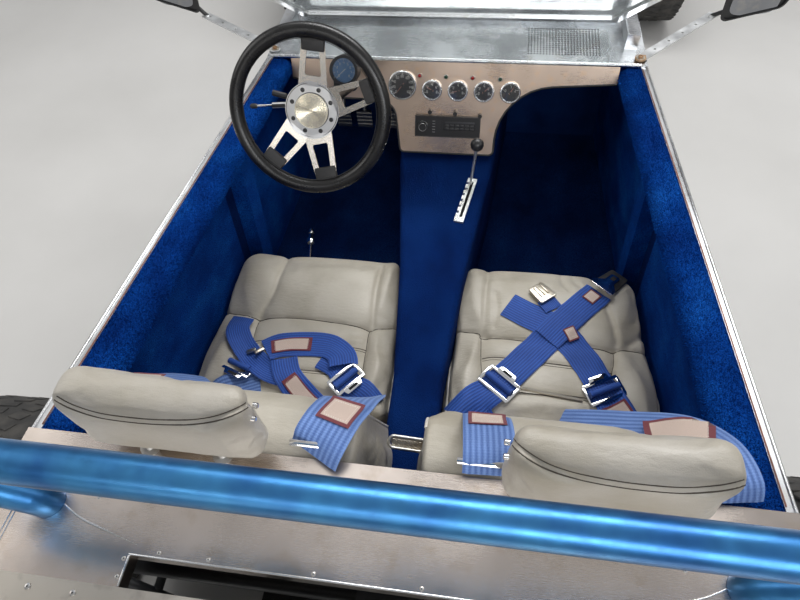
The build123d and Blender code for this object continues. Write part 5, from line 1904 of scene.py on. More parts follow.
    def driver(self, under: list[BVHTree], steel: Shape, rolled: Shape) -> None:
        """The driver's straps: laps folded back on the cushion."""
        self.strap("driver_strap_left", under, (-0.392, -0.925, 0.004), (-0.439, -0.941, 0.006),
                   (-0.480, -0.965, 0.010), (-0.500, -1.010, 0.004), width=0.070, finish=Finish.PALE_WEBBING)
        self.strap("driver_lap_fold", under, (-0.487, -0.745, 0.006), (-0.487, -0.789, 0.010),
                   (-0.452, -0.841, 0.008), (-0.392, -0.890, 0.004), (-0.340, -0.905, 0.004),
                   width=0.060, curl=0.004)
        self.strap("driver_lap_right", under, (-0.250, -0.845, 0.002), (-0.205, -0.868, 0.006),
                   (-0.173, -0.908, 0.006), (-0.135, -0.930, 0.006), (-0.100, -0.958, 0.004), width=0.066)
        self.strap("driver_lap_over", under, (-0.398, -0.842, 0.006), (-0.364, -0.822, 0.004),
                   (-0.294, -0.811, 0.003), (-0.240, -0.812, 0.003), (-0.203, -0.835, 0.006),
                   (-0.190, -0.868, 0.010), width=0.072, curl=-0.001)
        self.strap("driver_diagonal", under, (-0.345, -0.862, 0.004), (-0.325, -0.905, 0.003),
                   (-0.280, -0.948, 0.003), (-0.230, -0.985, 0.003), (-0.205, -1.005, 0.003), width=0.068)
        for spot, width in ((self.spot(-0.178, -0.902, (-0.150, -0.925), under), 0.086),
                            (self.spot(-0.454, -0.890, (-0.480, -0.965), under, 0.008), 0.080)):
            Fitting(spot, width).adjuster(steel, rolled, 0.040)
        self.patch("driver_patch_a", under, 0.040, (-0.385, -0.832), (-0.340, -0.818), (-0.284, -0.812))
        self.patch("driver_patch_b", under, 0.040, (-0.322, -0.910), (-0.280, -0.948), (-0.240, -0.978))
        for dx in (0.0, 0.022):
            tip = self.spot(-0.432 + dx, -0.850, (-0.40, -0.84), under, 0.006)
            WORN_FITTINGS.block(tip, (0.010, 0.026, 0.008), 0.002)

    def shoulders(self, steel: Shape) -> None:
        """The shoulder straps, which run free over the backrests' tops to the bulkhead."""
        over: list[BVHTree] = []
        for name, width, path in (
                ("passenger_shoulder_left", 0.078, (
                    (0.146, -1.020, 0.520), (0.150, -1.080, 0.640), (0.150, -1.130, 0.760),
                    (0.152, -1.178, 0.820), (0.155, -1.226, 0.832), (0.156, -1.247, 0.812))),
                ("passenger_shoulder_right", 0.078, (
                    (0.300, -1.040, 0.560), (0.385, -1.080, 0.660), (0.452, -1.128, 0.770),
                    (0.482, -1.176, 0.824), (0.496, -1.226, 0.834), (0.500, -1.247, 0.812))),
                ("driver_shoulder_right", 0.088, (
                    (-0.104, -1.005, 0.500), (-0.082, -1.065, 0.645), (-0.076, -1.128, 0.768),
                    (-0.086, -1.180, 0.822), (-0.100, -1.226, 0.832), (-0.110, -1.247, 0.812))),
                ("driver_shoulder_left", 0.078, (
                    (-0.420, -1.030, 0.560), (-0.450, -1.085, 0.680), (-0.452, -1.130, 0.775),
                    (-0.450, -1.180, 0.822), (-0.450, -1.226, 0.832), (-0.450, -1.247, 0.812)))):
            Strap(name, path, width, finish=Finish.PALE_WEBBING, free=True).build(over)
        for letter, width, points in (
                ("a", 0.060, ((0.150, -1.136), (0.150, -1.152), (0.151, -1.170))),
                ("b", 0.056, ((0.412, -1.118), (0.452, -1.124), (0.494, -1.138))),
                ("c", 0.058, ((-0.074, -1.146), (-0.080, -1.172), (-0.088, -1.200))),
                ("d", 0.060, ((-0.452, -1.112), (-0.451, -1.130), (-0.450, -1.150)))):
            self.patch(f"shoulder_patch_{letter}", over, width, *points, above=OVER_BACKRESTS)
        for x in (0.152, -0.104):
            place = placed((x, -1.236, 0.8265), (0, -0.5, 1), (1, 0, 0))
            steel.block(place, (0.010, 0.088, 0.004), 0.0012)

    def build(self) -> None:
        """Makes both harnesses and their fittings."""
        under = [pad.tree for pad in PADS.values() if "head" not in pad.name]
        steel, rolled = Shape(), Shape()
        self.passenger(under, steel, rolled)
        self.driver(under, steel, rolled)
        self.shoulders(steel)
        steel.piece("harness_fittings", Finish.CHROME, BODY, "chrome_trim")
        rolled.piece("harness_rolled_bars", Finish.WEBBING, BODY, "seat_vinyl", ROUNDED)
        # Dark blocks of painted shade in the slots of the tabs and tongues
        SLOT_SHADE.piece("harness_slots", Finish.DARK_HOLE, BODY, "black_plastic")
        TRAYS.piece("harness_latch_tray", Finish.BLACK_PLASTIC, BODY, "black_plastic")
        WORN_FITTINGS.piece("harness_worn_fittings", Finish.WORN_STEEL, BODY, "steel")
        SHADOW_RODS.piece("harness_bar", Finish.WORN_STEEL, BODY, "steel")


# Rigid pieces with more than one finish


class Measure(Enum):
    """What a limit of a zone measures, in the car's coordinates."""

    X = "across the car"
    Y = "along the car"
    Z = "up"
    RADIUS = "distance from an axis"
    ALONG = "distance along an axis"


@dataclass(frozen=True)
class Axis:
    """A line through a point."""

    centre: Point
    way: Point


@dataclass(frozen=True)
class Limit:
    """A range that a zone keeps to."""

    measure: Measure
    low: float = -9.0
    high: float = 9.0
    axis: Axis | None = None

    def value(self, shade: Shade) -> bpy.types.NodeSocket:
        """The measured value at each point of the surface."""
        if self.axis is None:
            return shade.parts(shade.place)[self.measure.name]
        away = shade.seen_from(self.axis.centre)
        dot = shade.node("ShaderNodeVectorMath", operation="DOT_PRODUCT")
        shade.link(away, dot.inputs[0])
        dot.inputs[1].default_value = tuple(Vector(self.axis.way).normalized())
        if self.measure is Measure.ALONG:
            return dot.outputs["Value"]
        square = shade.maths("SUBTRACT", shade.maths("POWER", shade.length(away), 2.0),
                             shade.maths("POWER", dot.outputs["Value"], 2.0))
        return shade.maths("SQRT", shade.maths("MAXIMUM", square, 0.0))

    def inside(self, shade: Shade) -> bpy.types.NodeSocket:
        """One inside the range and zero outside it."""
        value = self.value(shade)
        return shade.maths("MULTIPLY", shade.maths("GREATER_THAN", value, self.low),
                           shade.maths("LESS_THAN", value, self.high))


@dataclass(frozen=True)
class Zone:
    """Part of a piece that has its own colour, metal and gloss."""

    colour: Colour
    metallic: float
    roughness: float
    limits: tuple[Limit, ...] = ()


@dataclass(frozen=True)
class Zoned:
    """A finish whose zones are told apart by where they are. Later zones cover earlier ones."""

    zones: tuple[Zone, ...]
    grain_scale: float = 700.0
    grain_depth: float = 0.00012

    def build(self, name: str) -> bpy.types.Material:
        """The material: colour, metal and gloss mixed zone by zone, with wear and a fine grain."""
        shade = Shade(name)
        first = self.zones[0]
        wear = shade.spread(shade.noise(30.0, 5.0), 0.3, 0.7)
        tone = shade.mix(wear, tinted(first.colour, 0.9), tinted(first.colour, 1.08))
        metal = shade.maths("ADD", first.metallic, 0.0)
        rough = shade.spread(wear, 0.0, 1.0, first.roughness - 0.05, first.roughness + 0.09)
        for zone in self.zones[1:]:
            share = shade.maths("ADD", 1.0, 0.0)
            for limit in zone.limits:
                share = shade.maths("MULTIPLY", share, limit.inside(shade))
            other = shade.mix(wear, tinted(zone.colour, 0.96), tinted(zone.colour, 1.03))
            tone = shade.mix(share, tone, other)
            metal = shade.blend(share, metal, zone.metallic)
            gloss = shade.spread(wear, 0.0, 1.0, zone.roughness - 0.02, zone.roughness + 0.03)
            rough = shade.blend(share, rough, gloss)
        shade.give(Base_Color=tone, Metallic=metal, Roughness=rough)
        lines = shade.noise(self.grain_scale, 3.0)
        shade.bump((lines, self.grain_depth), (shade.cells(900.0), self.grain_depth / 2))
        return shade.material


STEERING = Axis((-0.288, -0.465, 0.846), (0.0, -math.cos(math.radians(26.1)), math.sin(math.radians(26.1))))

HUB = Limit(Measure.RADIUS, 0.0, 0.064, STEERING)
LEATHER = Zone((0.009, 0.0085, 0.0085), 0.0, 0.27)
SPOKES = Zone((0.62, 0.58, 0.52), 1.0, 0.22, (Limit(Measure.RADIUS, 0.0, 0.1465, STEERING),))
HUB_RING = Zone((0.56, 0.56, 0.56), 1.0, 0.32, (HUB,))
HUB_BACK = Zone((0.030, 0.030, 0.032), 0.2, 0.45, (Limit(Measure.ALONG, -9.0, -0.0247, STEERING), HUB))
CAP = Zone((0.80, 0.74, 0.60), 1.0, 0.26, (Limit(Measure.RADIUS, 0.0, 0.0395, STEERING),
                                          Limit(Measure.ALONG, -0.0192, 9.0, STEERING)))

ZONED: dict[str, Zoned] = {
    "steering_wheel": Zoned((LEATHER, SPOKES, HUB_RING, HUB_BACK, CAP)),
    "mirrors": Zoned((
        Zone((0.70, 0.71, 0.71), 0.9, 0.34),
        Zone((0.018, 0.018, 0.019), 0.0, 0.42, (Limit(Measure.Z, 0.7335),)),
        Zone((0.45, 0.30, 0.18), 0.6, 0.60, (Limit(Measure.X, 0.40, 0.526), Limit(Measure.Y, -0.06, -0.012),
                                             Limit(Measure.Z, 0.0, 0.7335))))),
    "shift_lever": Zoned((
        Zone((0.80, 0.80, 0.78), 0.85, 0.30),
        Zone((0.016, 0.016, 0.017), 0.0, 0.30, (Limit(Measure.Z, 0.6635),)))),
    "instruments": Zoned((
        Zone((0.78, 0.78, 0.78), 1.0, 0.16),
        Zone((0.014, 0.014, 0.015), 0.1, 0.38, (Limit(Measure.X, -0.10, 0.12),
                                                Limit(Measure.Z, 0.0, 0.602))))),
    "steering_column": Zoned((
        Zone((0.024, 0.024, 0.026), 0.2, 0.42),
        Zone((0.60, 0.60, 0.60), 0.9, 0.30, (Limit(Measure.X, -0.430, -0.325),
                                             Limit(Measure.ALONG, -0.118, -0.106, STEERING))))),
}


def finish_zoned_pieces() -> None:
    """Gives the rigid pieces that have several finishes their zoned material."""
    for name, zoned in ZONED.items():
        material = zoned.build(f"{name}_zones")
        for place in frame["nodes"][name].material_slots:
            place.material = material
        LOG.info("%s: %d zones", name, len(zoned.zones))


def face_engine_bay() -> None:
    """Gives the firewall's front bare metal; its cabin side keeps the carpet."""
    mesh = frame["nodes"]["bulkheads"].data
    mesh.materials.append(Finish.BODY_METAL.material())
    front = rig.box("bulkheads")[1][1] - 0.0004
    for face in mesh.polygons:
        if face.center.y > front:
            face.material_index = len(mesh.materials) - 1
    LOG.info("firewall: metal in front")


# The steering wheel's own fittings


@dataclass
class WheelFittings:
    """Bolts round the hub, leather wrapped over the spokes' ends, and dark rings of painted shade for the grooves
    round the cap and hub.
    """

    bolt_circle: float = 0.049
    bolts: int = 8
    bolt_radius: float = 0.0042
    first_bolt: float = 22.5
    seam_radius: float = 0.1560
    spoke_angles: tuple[float, ...] = (84.0, 20.0, -78.0, -130.0)
    wrap_inner: float = 0.131
    wrap_outer: float = 0.160
    wrap_half: float = 0.0265
    hub_face: float = -0.0195
    spoke_start: float = 0.051
    spoke_end: float = 0.1666
    rise: float = 0.018

    def place(self) -> Matrix:
        """The wheel's middle, with Z toward the driver and Y up the wheel."""
        return placed(STEERING.centre, STEERING.way, (0, 0, 1))

    def build(self) -> None:
        """Makes the bolts, wraps and cap ring, which all turn with the wheel."""
        middle = self.place()
        bolt = Shape()
        spin = Matrix.Rotation(math.radians(self.first_bolt), 4, "Z")
        seat = spin @ Matrix.Translation((self.bolt_circle, 0, self.hub_face))
        size = self.bolt_radius
        bolt.lathe([(0, 0), (size + 0.001, 0), (size + 0.001, 0.0006), (size, 0.0014), (size * 0.55, 0.0016),
                    (size * 0.5, 0.0002), (0, 0.0002)], seat, 12)
        ring_of("wheel_bolts", bolt, self.bolts, middle, Finish.BLACK_METAL, HAND_WHEEL, "grip_rubber")
        wraps = Shape()
        tilt = Matrix.Rotation(-math.atan2(self.rise, self.spoke_end - self.spoke_start), 4, "Y")
        for angle in self.spoke_angles:
            turn = middle @ Matrix.Rotation(math.radians(angle), 4, "Z")
            foot = turn @ Matrix.Translation((self.spoke_start, 0, -self.rise - 0.004)) @ tilt
            reach = (self.wrap_inner + self.wrap_outer) / 2 - self.spoke_start
            wraps.block(foot @ Matrix.Translation((reach, 0, 0)),
                        (self.wrap_outer - self.wrap_inner, 2 * self.wrap_half, 0.0120), 0.0040, 3)
        wraps.piece("wheel_spoke_wraps", Finish.GRIP, HAND_WHEEL, "grip_rubber")
        seam = Shape().tube(circle(middle, self.seam_radius, 0.004, 96), 0.0007, 6, closed=True)
        seam.piece("wheel_rim_seam", Finish.BLACK_METAL, HAND_WHEEL, "grip_rubber", ROUNDED)
        # Painted shade: thin dark rings laid where the grooves round the cap and the hub ring fall into shadow
        rings = Shape()
        for radius, height in ((0.0400, self.hub_face + 0.0004), (0.0605, self.hub_face + 0.0002)):
            rings.tube(circle(middle, radius, height), 0.0007, 6, closed=True)
        rings.piece("wheel_hub_rings", Finish.DARK_HOLE, HAND_WHEEL, "grip_rubber", ROUNDED)
        cap = Shape().lathe([(0, -0.0128), (0.0362, -0.0128), (0.0378, -0.0131), (0.0384, -0.0140),
                             (0, -0.0140)], middle, 64)
        cap.piece("wheel_cap_face", Finish.TURNED_CAP, HAND_WHEEL, "steel")
        self.stalk()

    def stalk(self) -> None:
        """The longer column stalk's chromed outer part and its dark end."""
        way, across, turn = Vector(STEERING.way), Vector((1, 0, 0)), math.radians(184)
        out = across * math.cos(turn) + way.cross(across) * math.sin(turn)
        start = Vector(STEERING.centre) - way * 0.112 + out * 0.120
        rod = Shape().tube([start, start + out * 0.050], 0.0032, 10)
        rod.piece("stalk_rod", Finish.CHROME, BODY, "chrome_trim", ROUNDED)
        end = start + out * 0.046
        knob = Shape().tube([end, end + out * 0.004, end + out * 0.014, end + out * 0.018],
                            lambda s: 0.0062 if 0.1 < s < 0.9 else 0.0040, 14)
        knob.piece("stalk_end", Finish.BLACK_PLASTIC, BODY, "black_plastic", CREASED)


# Dashboard

DASH_TOP = 0.716
DASH_TILT = math.radians(22.0)
DASH_CLIMB = math.cos(DASH_TILT)
DASH = placed((0.0, -0.05, DASH_TOP), (0.0, -DASH_CLIMB, math.sin(DASH_TILT)), (0, 0, 1))


def on_dash(x: float, z: float, off: float = 0.0) -> Matrix:
    """A place on the dashboard's face at an X and a height, its Z out of the face, its Y up it."""
    up = (z - DASH_TOP) / DASH_CLIMB
    return DASH @ Matrix.Translation((x, up, off))


class Digits:
    """Plain seven-bar numbers for the dials."""

    BARS = {"0": "abcdef", "1": "bc", "2": "abged", "3": "abgcd", "4": "fgbc", "5": "afgcd", "6": "afgedc",
            "7": "abc", "8": "abcdefg", "9": "abcdfg"}
    PLACES = {"a": (0, 1, 0), "b": (0.5, 0.5, 1), "c": (0.5, -0.5, 1), "d": (0, -1, 0), "e": (-0.5, -0.5, 1),
              "f": (-0.5, 0.5, 1), "g": (0, 0, 0)}

    @classmethod
    def write(cls, shape: Shape, text: str, place: Matrix, height: float) -> None:
        """Adds the bars of a number, centred on a place."""
        wide = height * 0.5
        pitch = height * 0.8
        for k, digit in enumerate(text):
            shift = (k - (len(text) - 1) / 2) * pitch
            for bar in cls.BARS[digit]:
                x, y, upright = cls.PLACES[bar]
                size = (height * 0.16, wide, 0.0003) if upright else (wide, height * 0.16, 0.0003)
                shape.block(place @ Matrix.Translation((shift + x * wide, y * height / 2, 0)), size)


@dataclass
class Gauge:
    """A round gauge: black dial, white ticks and numbers, a needle with its hub, and a glass."""

    x: float
    z: float
    radius: float
    numbers: tuple[str, ...]
    needle: float
    start: float = 225.0
    sweep: float = 270.0
    seat: float = 0.0042
    tick_every: float = 9.0

    def spoke(self, angle: float) -> Matrix:
        """A place at the dial's middle whose X points along an angle."""
        return on_dash(self.x, self.z, self.seat) @ Matrix.Rotation(math.radians(angle), 4, "Z")

    def ticks(self, marks: Shape, inner: float) -> None:
        """Long and short ticks round the dial."""
        count = round(self.sweep / self.tick_every)
        for k in range(count + 1):
            main = k % 5 == 0
            long = inner * (0.20 if main else 0.11)
            angle = self.start - self.sweep * k / count
            spot = self.spoke(angle) @ Matrix.Translation((inner - long / 2 - 0.0012, 0, 0.0004))
            marks.block(spot, (long, inner * (0.060 if main else 0.034), 0.0003))

    def build(self, faces: Shape, marks: Shape, needles: Shape, hubs: Shape, glasses: Shape) -> None:
        """Adds the gauge's parts to the shapes that all gauges share."""
        inner = self.radius - 0.0042
        flat = self.spoke(0.0)
        faces.lathe([(0, 0.0002), (inner, 0.0002), (inner, -0.002), (0, -0.002)], flat, 40)
        self.ticks(marks, inner)
        many = len(self.numbers) > 5
        for k, number in enumerate(self.numbers):
            angle = self.start - self.sweep * k / (len(self.numbers) - 1)
            spot = self.spoke(angle) @ Matrix.Translation((inner * (0.68 if many else 0.60), 0, 0.0004))
            upright = spot @ Matrix.Rotation(math.radians(-angle), 4, "Z")
            Digits.write(marks, number, upright, inner * (0.17 if many else 0.25))
        hand = self.spoke(self.needle) @ Matrix.Translation((0, 0, 0.0016))
        needles.plate(hand, ((-inner * 0.2, -0.0011), (inner * 0.78, -0.0003), (inner * 0.78, 0.0003),
                             (-inner * 0.2, 0.0011)), 0.0005)
        hubs.lathe([(0, 0), (inner * 0.13, 0), (inner * 0.12, 0.0024), (0, 0.0030)], flat, 16)
        glasses.lathe([(0, 0.0034), (inner, 0.0032), (inner, 0.0026), (0, 0.0028)], flat, 40)


@dataclass(frozen=True)
class Counter:
    """The rev counter's place, from the steering wheel's middle, and its dial's radius and angles."""

    forward: float = 0.265
    across: float = 0.020
    rise: float = 0.057
    radius: float = 0.0336
    start: float = 225.0
    sweep: float = 270.0
    needle: float = 222.0
    ticks: int = 40


COUNTER = Counter()


@dataclass
class Dash:
    """Gauges, warning lamps and the radio's face on the dashboard's sloping metal, and the rev counter."""

    lamps: tuple[tuple[float, float, Finish], ...] = (
        (-0.085, 0.682, Finish.RED_LAMP), (-0.010, 0.681, Finish.GREEN_LAMP), (0.065, 0.680, Finish.RED_LAMP),
        (0.142, 0.679, Finish.GREEN_LAMP))
    radio: tuple[float, float] = (-0.096, 0.096)
    radio_low: float = 0.523
    radio_high: float = 0.580

    def gauges(self) -> None:
        """The speedometer and four small gauges."""
        faces, marks, needles, hubs, glasses = (Shape() for _ in range(5))
        speeds = tuple(str(20 * k) for k in range(9))
        small = ("0", "2", "4", "6", "8")
        gauges = [Gauge(-0.135, 0.656, 0.041, speeds, 232.0, tick_every=6.75)]
        gauges += [Gauge(x, 0.646, 0.029, small, needle, 200.0, 220.0, tick_every=11.0)
                   for x, needle in ((-0.049, 150.0), (0.025, 195.0), (0.099, 40.0))]
        gauges.append(Gauge(0.173, 0.646, 0.029, ("0", "1", "2"), 60.0, 160.0, 140.0, tick_every=14.0))
        for gauge in gauges:
            gauge.build(faces, marks, needles, hubs, glasses)
        faces.piece("gauge_dials", Finish.DIAL, BODY, "black_plastic")
        marks.piece("gauge_marks", Finish.DIAL_MARK, BODY, "black_plastic")
        needles.piece("gauge_needles", Finish.NEEDLE, BODY, "black_plastic")
        hubs.piece("gauge_hubs", Finish.BLACK_PLASTIC, BODY, "black_plastic")
        glasses.piece("gauge_glasses", Finish.DIAL_GLASS, BODY, "screen_glass")

    def warning_lamps(self) -> None:
        """Small round warning lamps in chrome rings."""
        rings = Shape()
        for k, (x, z, finish) in enumerate(self.lamps):
            dome = Shape().lathe([(0, 0.0002), (0.0050, 0.0002), (0.0048, 0.0020), (0.003, 0.0036),
                                  (0, 0.0042)], on_dash(x, z, 0.0051), 16)
            dome.piece(f"warning_lamp_{k}", finish, BODY, "lamp_red")
            rings.lathe([(0.0050, 0), (0.0066, 0), (0.0064, 0.0014), (0.0052, 0.0022), (0.0050, 0)],
                        on_dash(x, z, 0.0049), 20)
        rings.piece("warning_lamp_rings", Finish.STEEL, BODY, "chrome_trim")

    def radio_face(self) -> None:
        """The radio: two knobs, a dark window, a row of keys, in a thin worn frame."""
        low, high = self.radio
        middle = (low + high) / 2
        z = (self.radio_low + self.radio_high) / 2
        tall = (self.radio_high - self.radio_low) / DASH_CLIMB
        face = on_dash(middle, z, 0.0)
        out = 0.012
        frame_shape = Shape()
        for way in (-1, 1):
            frame_shape.block(face @ Matrix.Translation((0, way * (tall / 2 - 0.0012), out)),
                              (high - low, 0.0022, 0.003), 0.0006)
            frame_shape.block(face @ Matrix.Translation((way * ((high - low) / 2 - 0.0012), 0, out)),
                              (0.0022, tall - 0.005, 0.003), 0.0006)
        frame_shape.piece("radio_frame", Finish.BLACK_METAL, BODY, "black_plastic")
        keys = Shape().block(Matrix(), (0.0115, 0.0062, 0.0036), 0.001)
        spot = face @ Matrix.Translation((0.035, -0.0005, 0.0102))
        grid_of("radio_keys", keys, (6, 2), (0.0145, 0.0092), spot, Finish.BLACK_METAL, BODY, "black_plastic")
        window = Shape().block(face @ Matrix.Translation((0.035, 0.0125, 0.0092)),
                               (0.088, 0.0062, 0.0010), 0.0004)
        window.piece("radio_window", Finish.DIAL, BODY, "black_plastic")
        rims = Shape()
        knob = face @ Matrix.Translation((-0.072, 0, 0))
        for radius, height in ((0.0141, 0.0125), (0.0110, 0.0241)):
            rims.tube(circle(knob, radius, height, 40), 0.0006, 6, closed=True)
        for k in range(5):
            spot = face @ Matrix.Translation((-0.040, 0.016 - 0.008 * k, out))
            rims.block(spot, (0.008, 0.0012, 0.0008))
        rims.piece("radio_marks", Finish.STEEL, BODY, "chrome_trim")

    def build(self) -> None:
        """Makes everything on the dashboard."""
        self.gauges()
        self.warning_lamps()
        self.radio_face()
        self.rev_counter()
        self.edge()

    def edge(self) -> None:
        """The dark rubber lip under the dashboard's curved lower edge."""
        lower = [(0.4605, 0.675, 0.0), (0.141, 0.655, 0.160), (0.138, 0.476, 0.014), (-0.142, 0.476, 0.014),
                 (-0.158, 0.618, 0.055), (-0.405, 0.618, 0.030), (-0.440, 0.664, 0.020),
                 (-0.4605, 0.668, 0.0)]
        corners = [(x, (z - DASH_TOP) / DASH_CLIMB, r) for x, z, r in lower]
        outline = rounded_outline([(0.4605, 0.0, 0.0)] + corners + [(-0.4605, 0.0, 0.0)], 8)
        path = [DASH @ Vector((x, y - 0.0018, -0.002)) for x, y in outline if y < -0.02]
        Shape().tube(path, 0.0036, 8).piece("dash_lip", Finish.BLACK_PLASTIC, BODY, "black_plastic", ROUNDED)

    def rev_counter(self) -> None:
        """The blue dial of the rev counter on the steering column."""
        way, across = Vector(STEERING.way), Vector((1, 0, 0))
        up = way.cross(across).normalized()
        centre = (Vector(STEERING.centre) - way * COUNTER.forward + across * COUNTER.across
                  + up * COUNTER.rise)
        place = placed(centre, way, up) @ Matrix.Translation((0, 0, -0.0058))
        inner = COUNTER.radius - 0.003
        dial = Shape().lathe([(0, 0.0002), (inner, 0.0002), (inner, -0.002), (0, -0.002)], place, 40)
        dial.piece("rev_counter_dial", Finish.BLUE_DIAL, BODY, "black_plastic")
        marks = Shape()
        for k in range(COUNTER.ticks + 1):
            angle = math.radians(COUNTER.start - COUNTER.sweep * k / COUNTER.ticks)
            main = k % 5 == 0
            long = 0.005 if main else 0.0028
            turned = place @ Matrix.Rotation(angle, 4, "Z")
            spot = turned @ Matrix.Translation((COUNTER.radius - 0.0045 - long / 2, 0, 0.0004))
            marks.block(spot, (long, 0.0011 if main else 0.0006, 0.0003))
            if main:
                spot = turned @ Matrix.Translation((COUNTER.radius - 0.0145, 0, 0.0004))
                Digits.write(marks, str(k // 5), spot @ Matrix.Rotation(-angle, 4, "Z"), 0.0055)
        marks.piece("rev_counter_marks", Finish.DIAL_MARK, BODY, "black_plastic")
        turned = place @ Matrix.Rotation(math.radians(COUNTER.needle), 4, "Z")
        hand = turned @ Matrix.Translation((0, 0, 0.0016))
        needle = Shape().plate(hand, ((-0.006, -0.0012), (0.027, -0.0003), (0.027, 0.0003),
                                      (-0.006, 0.0012)), 0.0005)
        needle.piece("rev_counter_needle", Finish.DIAL_MARK, BODY, "black_plastic")
        glass = Shape().lathe([(0, 0.0036), (inner, 0.0034), (inner, 0.0028), (0, 0.003)], place, 40)
        glass.piece("rev_counter_glass", Finish.DIAL_GLASS, BODY, "screen_glass")


# Trim, hardware and running gear

# The body's top edge behind the dashboard: along the car, half width, height
EDGE = ((-1.30, 0.593, 0.800), (-0.05, 0.531, 0.716), (0.14, 0.522, 0.734))
DECK_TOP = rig.box("rear_deck")[1][2]
COVER_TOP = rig.box("rear_cover")[1][2]


def edge_at(y: float, inset: float = 0.0, lift: float = 0.0, side: Side = Side.RIGHT) -> Vector:
    """A point on the body's top edge."""
    rows = np.array(EDGE)
    return Vector((side.value * (float(np.interp(y, rows[:, 0], rows[:, 1])) - inset), y,
                   float(np.interp(y, rows[:, 0], rows[:, 2])) + lift))


def surface(name: str) -> BVHTree:
    """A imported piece's surface, for laying small things on it."""
    mesh = frame["nodes"][name].data
    return BVHTree.FromPolygons([v.co for v in mesh.vertices], [tuple(p.vertices) for p in mesh.polygons])


def flat_on(tree: BVHTree, x: float, y: float) -> Matrix:
    """A place on a surface straight under a point, its Z along the surface's normal."""
    hit, normal, _, _ = tree.ray_cast(Vector((x, y, OUTSIDE)), Vector((0, 0, -1)))
    return placed(hit, normal)


@dataclass
class Pile:
    """Tufts that stand out of the carpet rolls along the cabin's sides."""

    spacing: float = 0.0030
    height: float = 0.0038
    width: float = 0.0016
    lean: float = 0.55
    seed: int = 7
    depth: float = 0.046

    def roll(self, side: Side) -> Shape:
        """The roll's faces that show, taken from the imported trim."""
        mesh = frame["nodes"][f"side_trim_{side.name.lower()}"].data
        shape = Shape()
        for face in mesh.polygons:
            middle, normal = face.center, face.normal
            shows = normal.z > 0.1 or normal.x * side.value < -0.2
            if shows and middle.z > edge_at(middle.y).z - self.depth:
                shape.add([mesh.vertices[k].co for k in face.vertices], [tuple(range(len(face.vertices)))])
        return shape

    def build(self) -> None:
        """Spreads the tufts over both rolls."""
        for side in Side:
            tree = Repeater(f"tufts_{side.name.lower()}_tree")
            spread = tree.node("GeometryNodeDistributePointsOnFaces", distribute_method="POISSON")
            tree.tree.links.new(tree.host(), spread.inputs["Mesh"])
            tree.tree.links.new(tree.size("Spacing", self.spacing), spread.inputs["Distance Min"])
            spread.inputs["Density Max"].default_value = 200000.0
            tree.tree.links.new(tree.size("Seed", self.seed), spread.inputs["Seed"])
            cone = tree.node("GeometryNodeMeshCone", {"Vertices": 3, "Radius Top": 0.0,
                                                      "Radius Bottom": tree.size("Width", self.width),
                                                      "Depth": tree.size("Height", self.height)})
            tilt = tree.node("FunctionNodeRandomValue", {0: (-self.lean,) * 3, 1: (self.lean,) * 3},
                             data_type="FLOAT_VECTOR")
            turned = tree.node("FunctionNodeRotateRotation", {
                "Rotation": spread.outputs["Rotation"], "Rotate By": tilt.outputs[0]}, rotation_space="LOCAL")
            scale = tree.node("FunctionNodeRandomValue", {2: 0.65, 3: 1.35}, data_type="FLOAT")
            tufts = tree.node("GeometryNodeInstanceOnPoints", {
                "Points": spread.outputs["Points"], "Instance": cone.outputs["Mesh"],
                "Rotation": turned.outputs["Rotation"], "Scale": scale.outputs[1]})
            tree.made(tufts.outputs["Instances"], self.roll(side), f"roll_tufts_{side.name.lower()}",
                      Finish.CARPET, BODY, "carpet", 20.0)


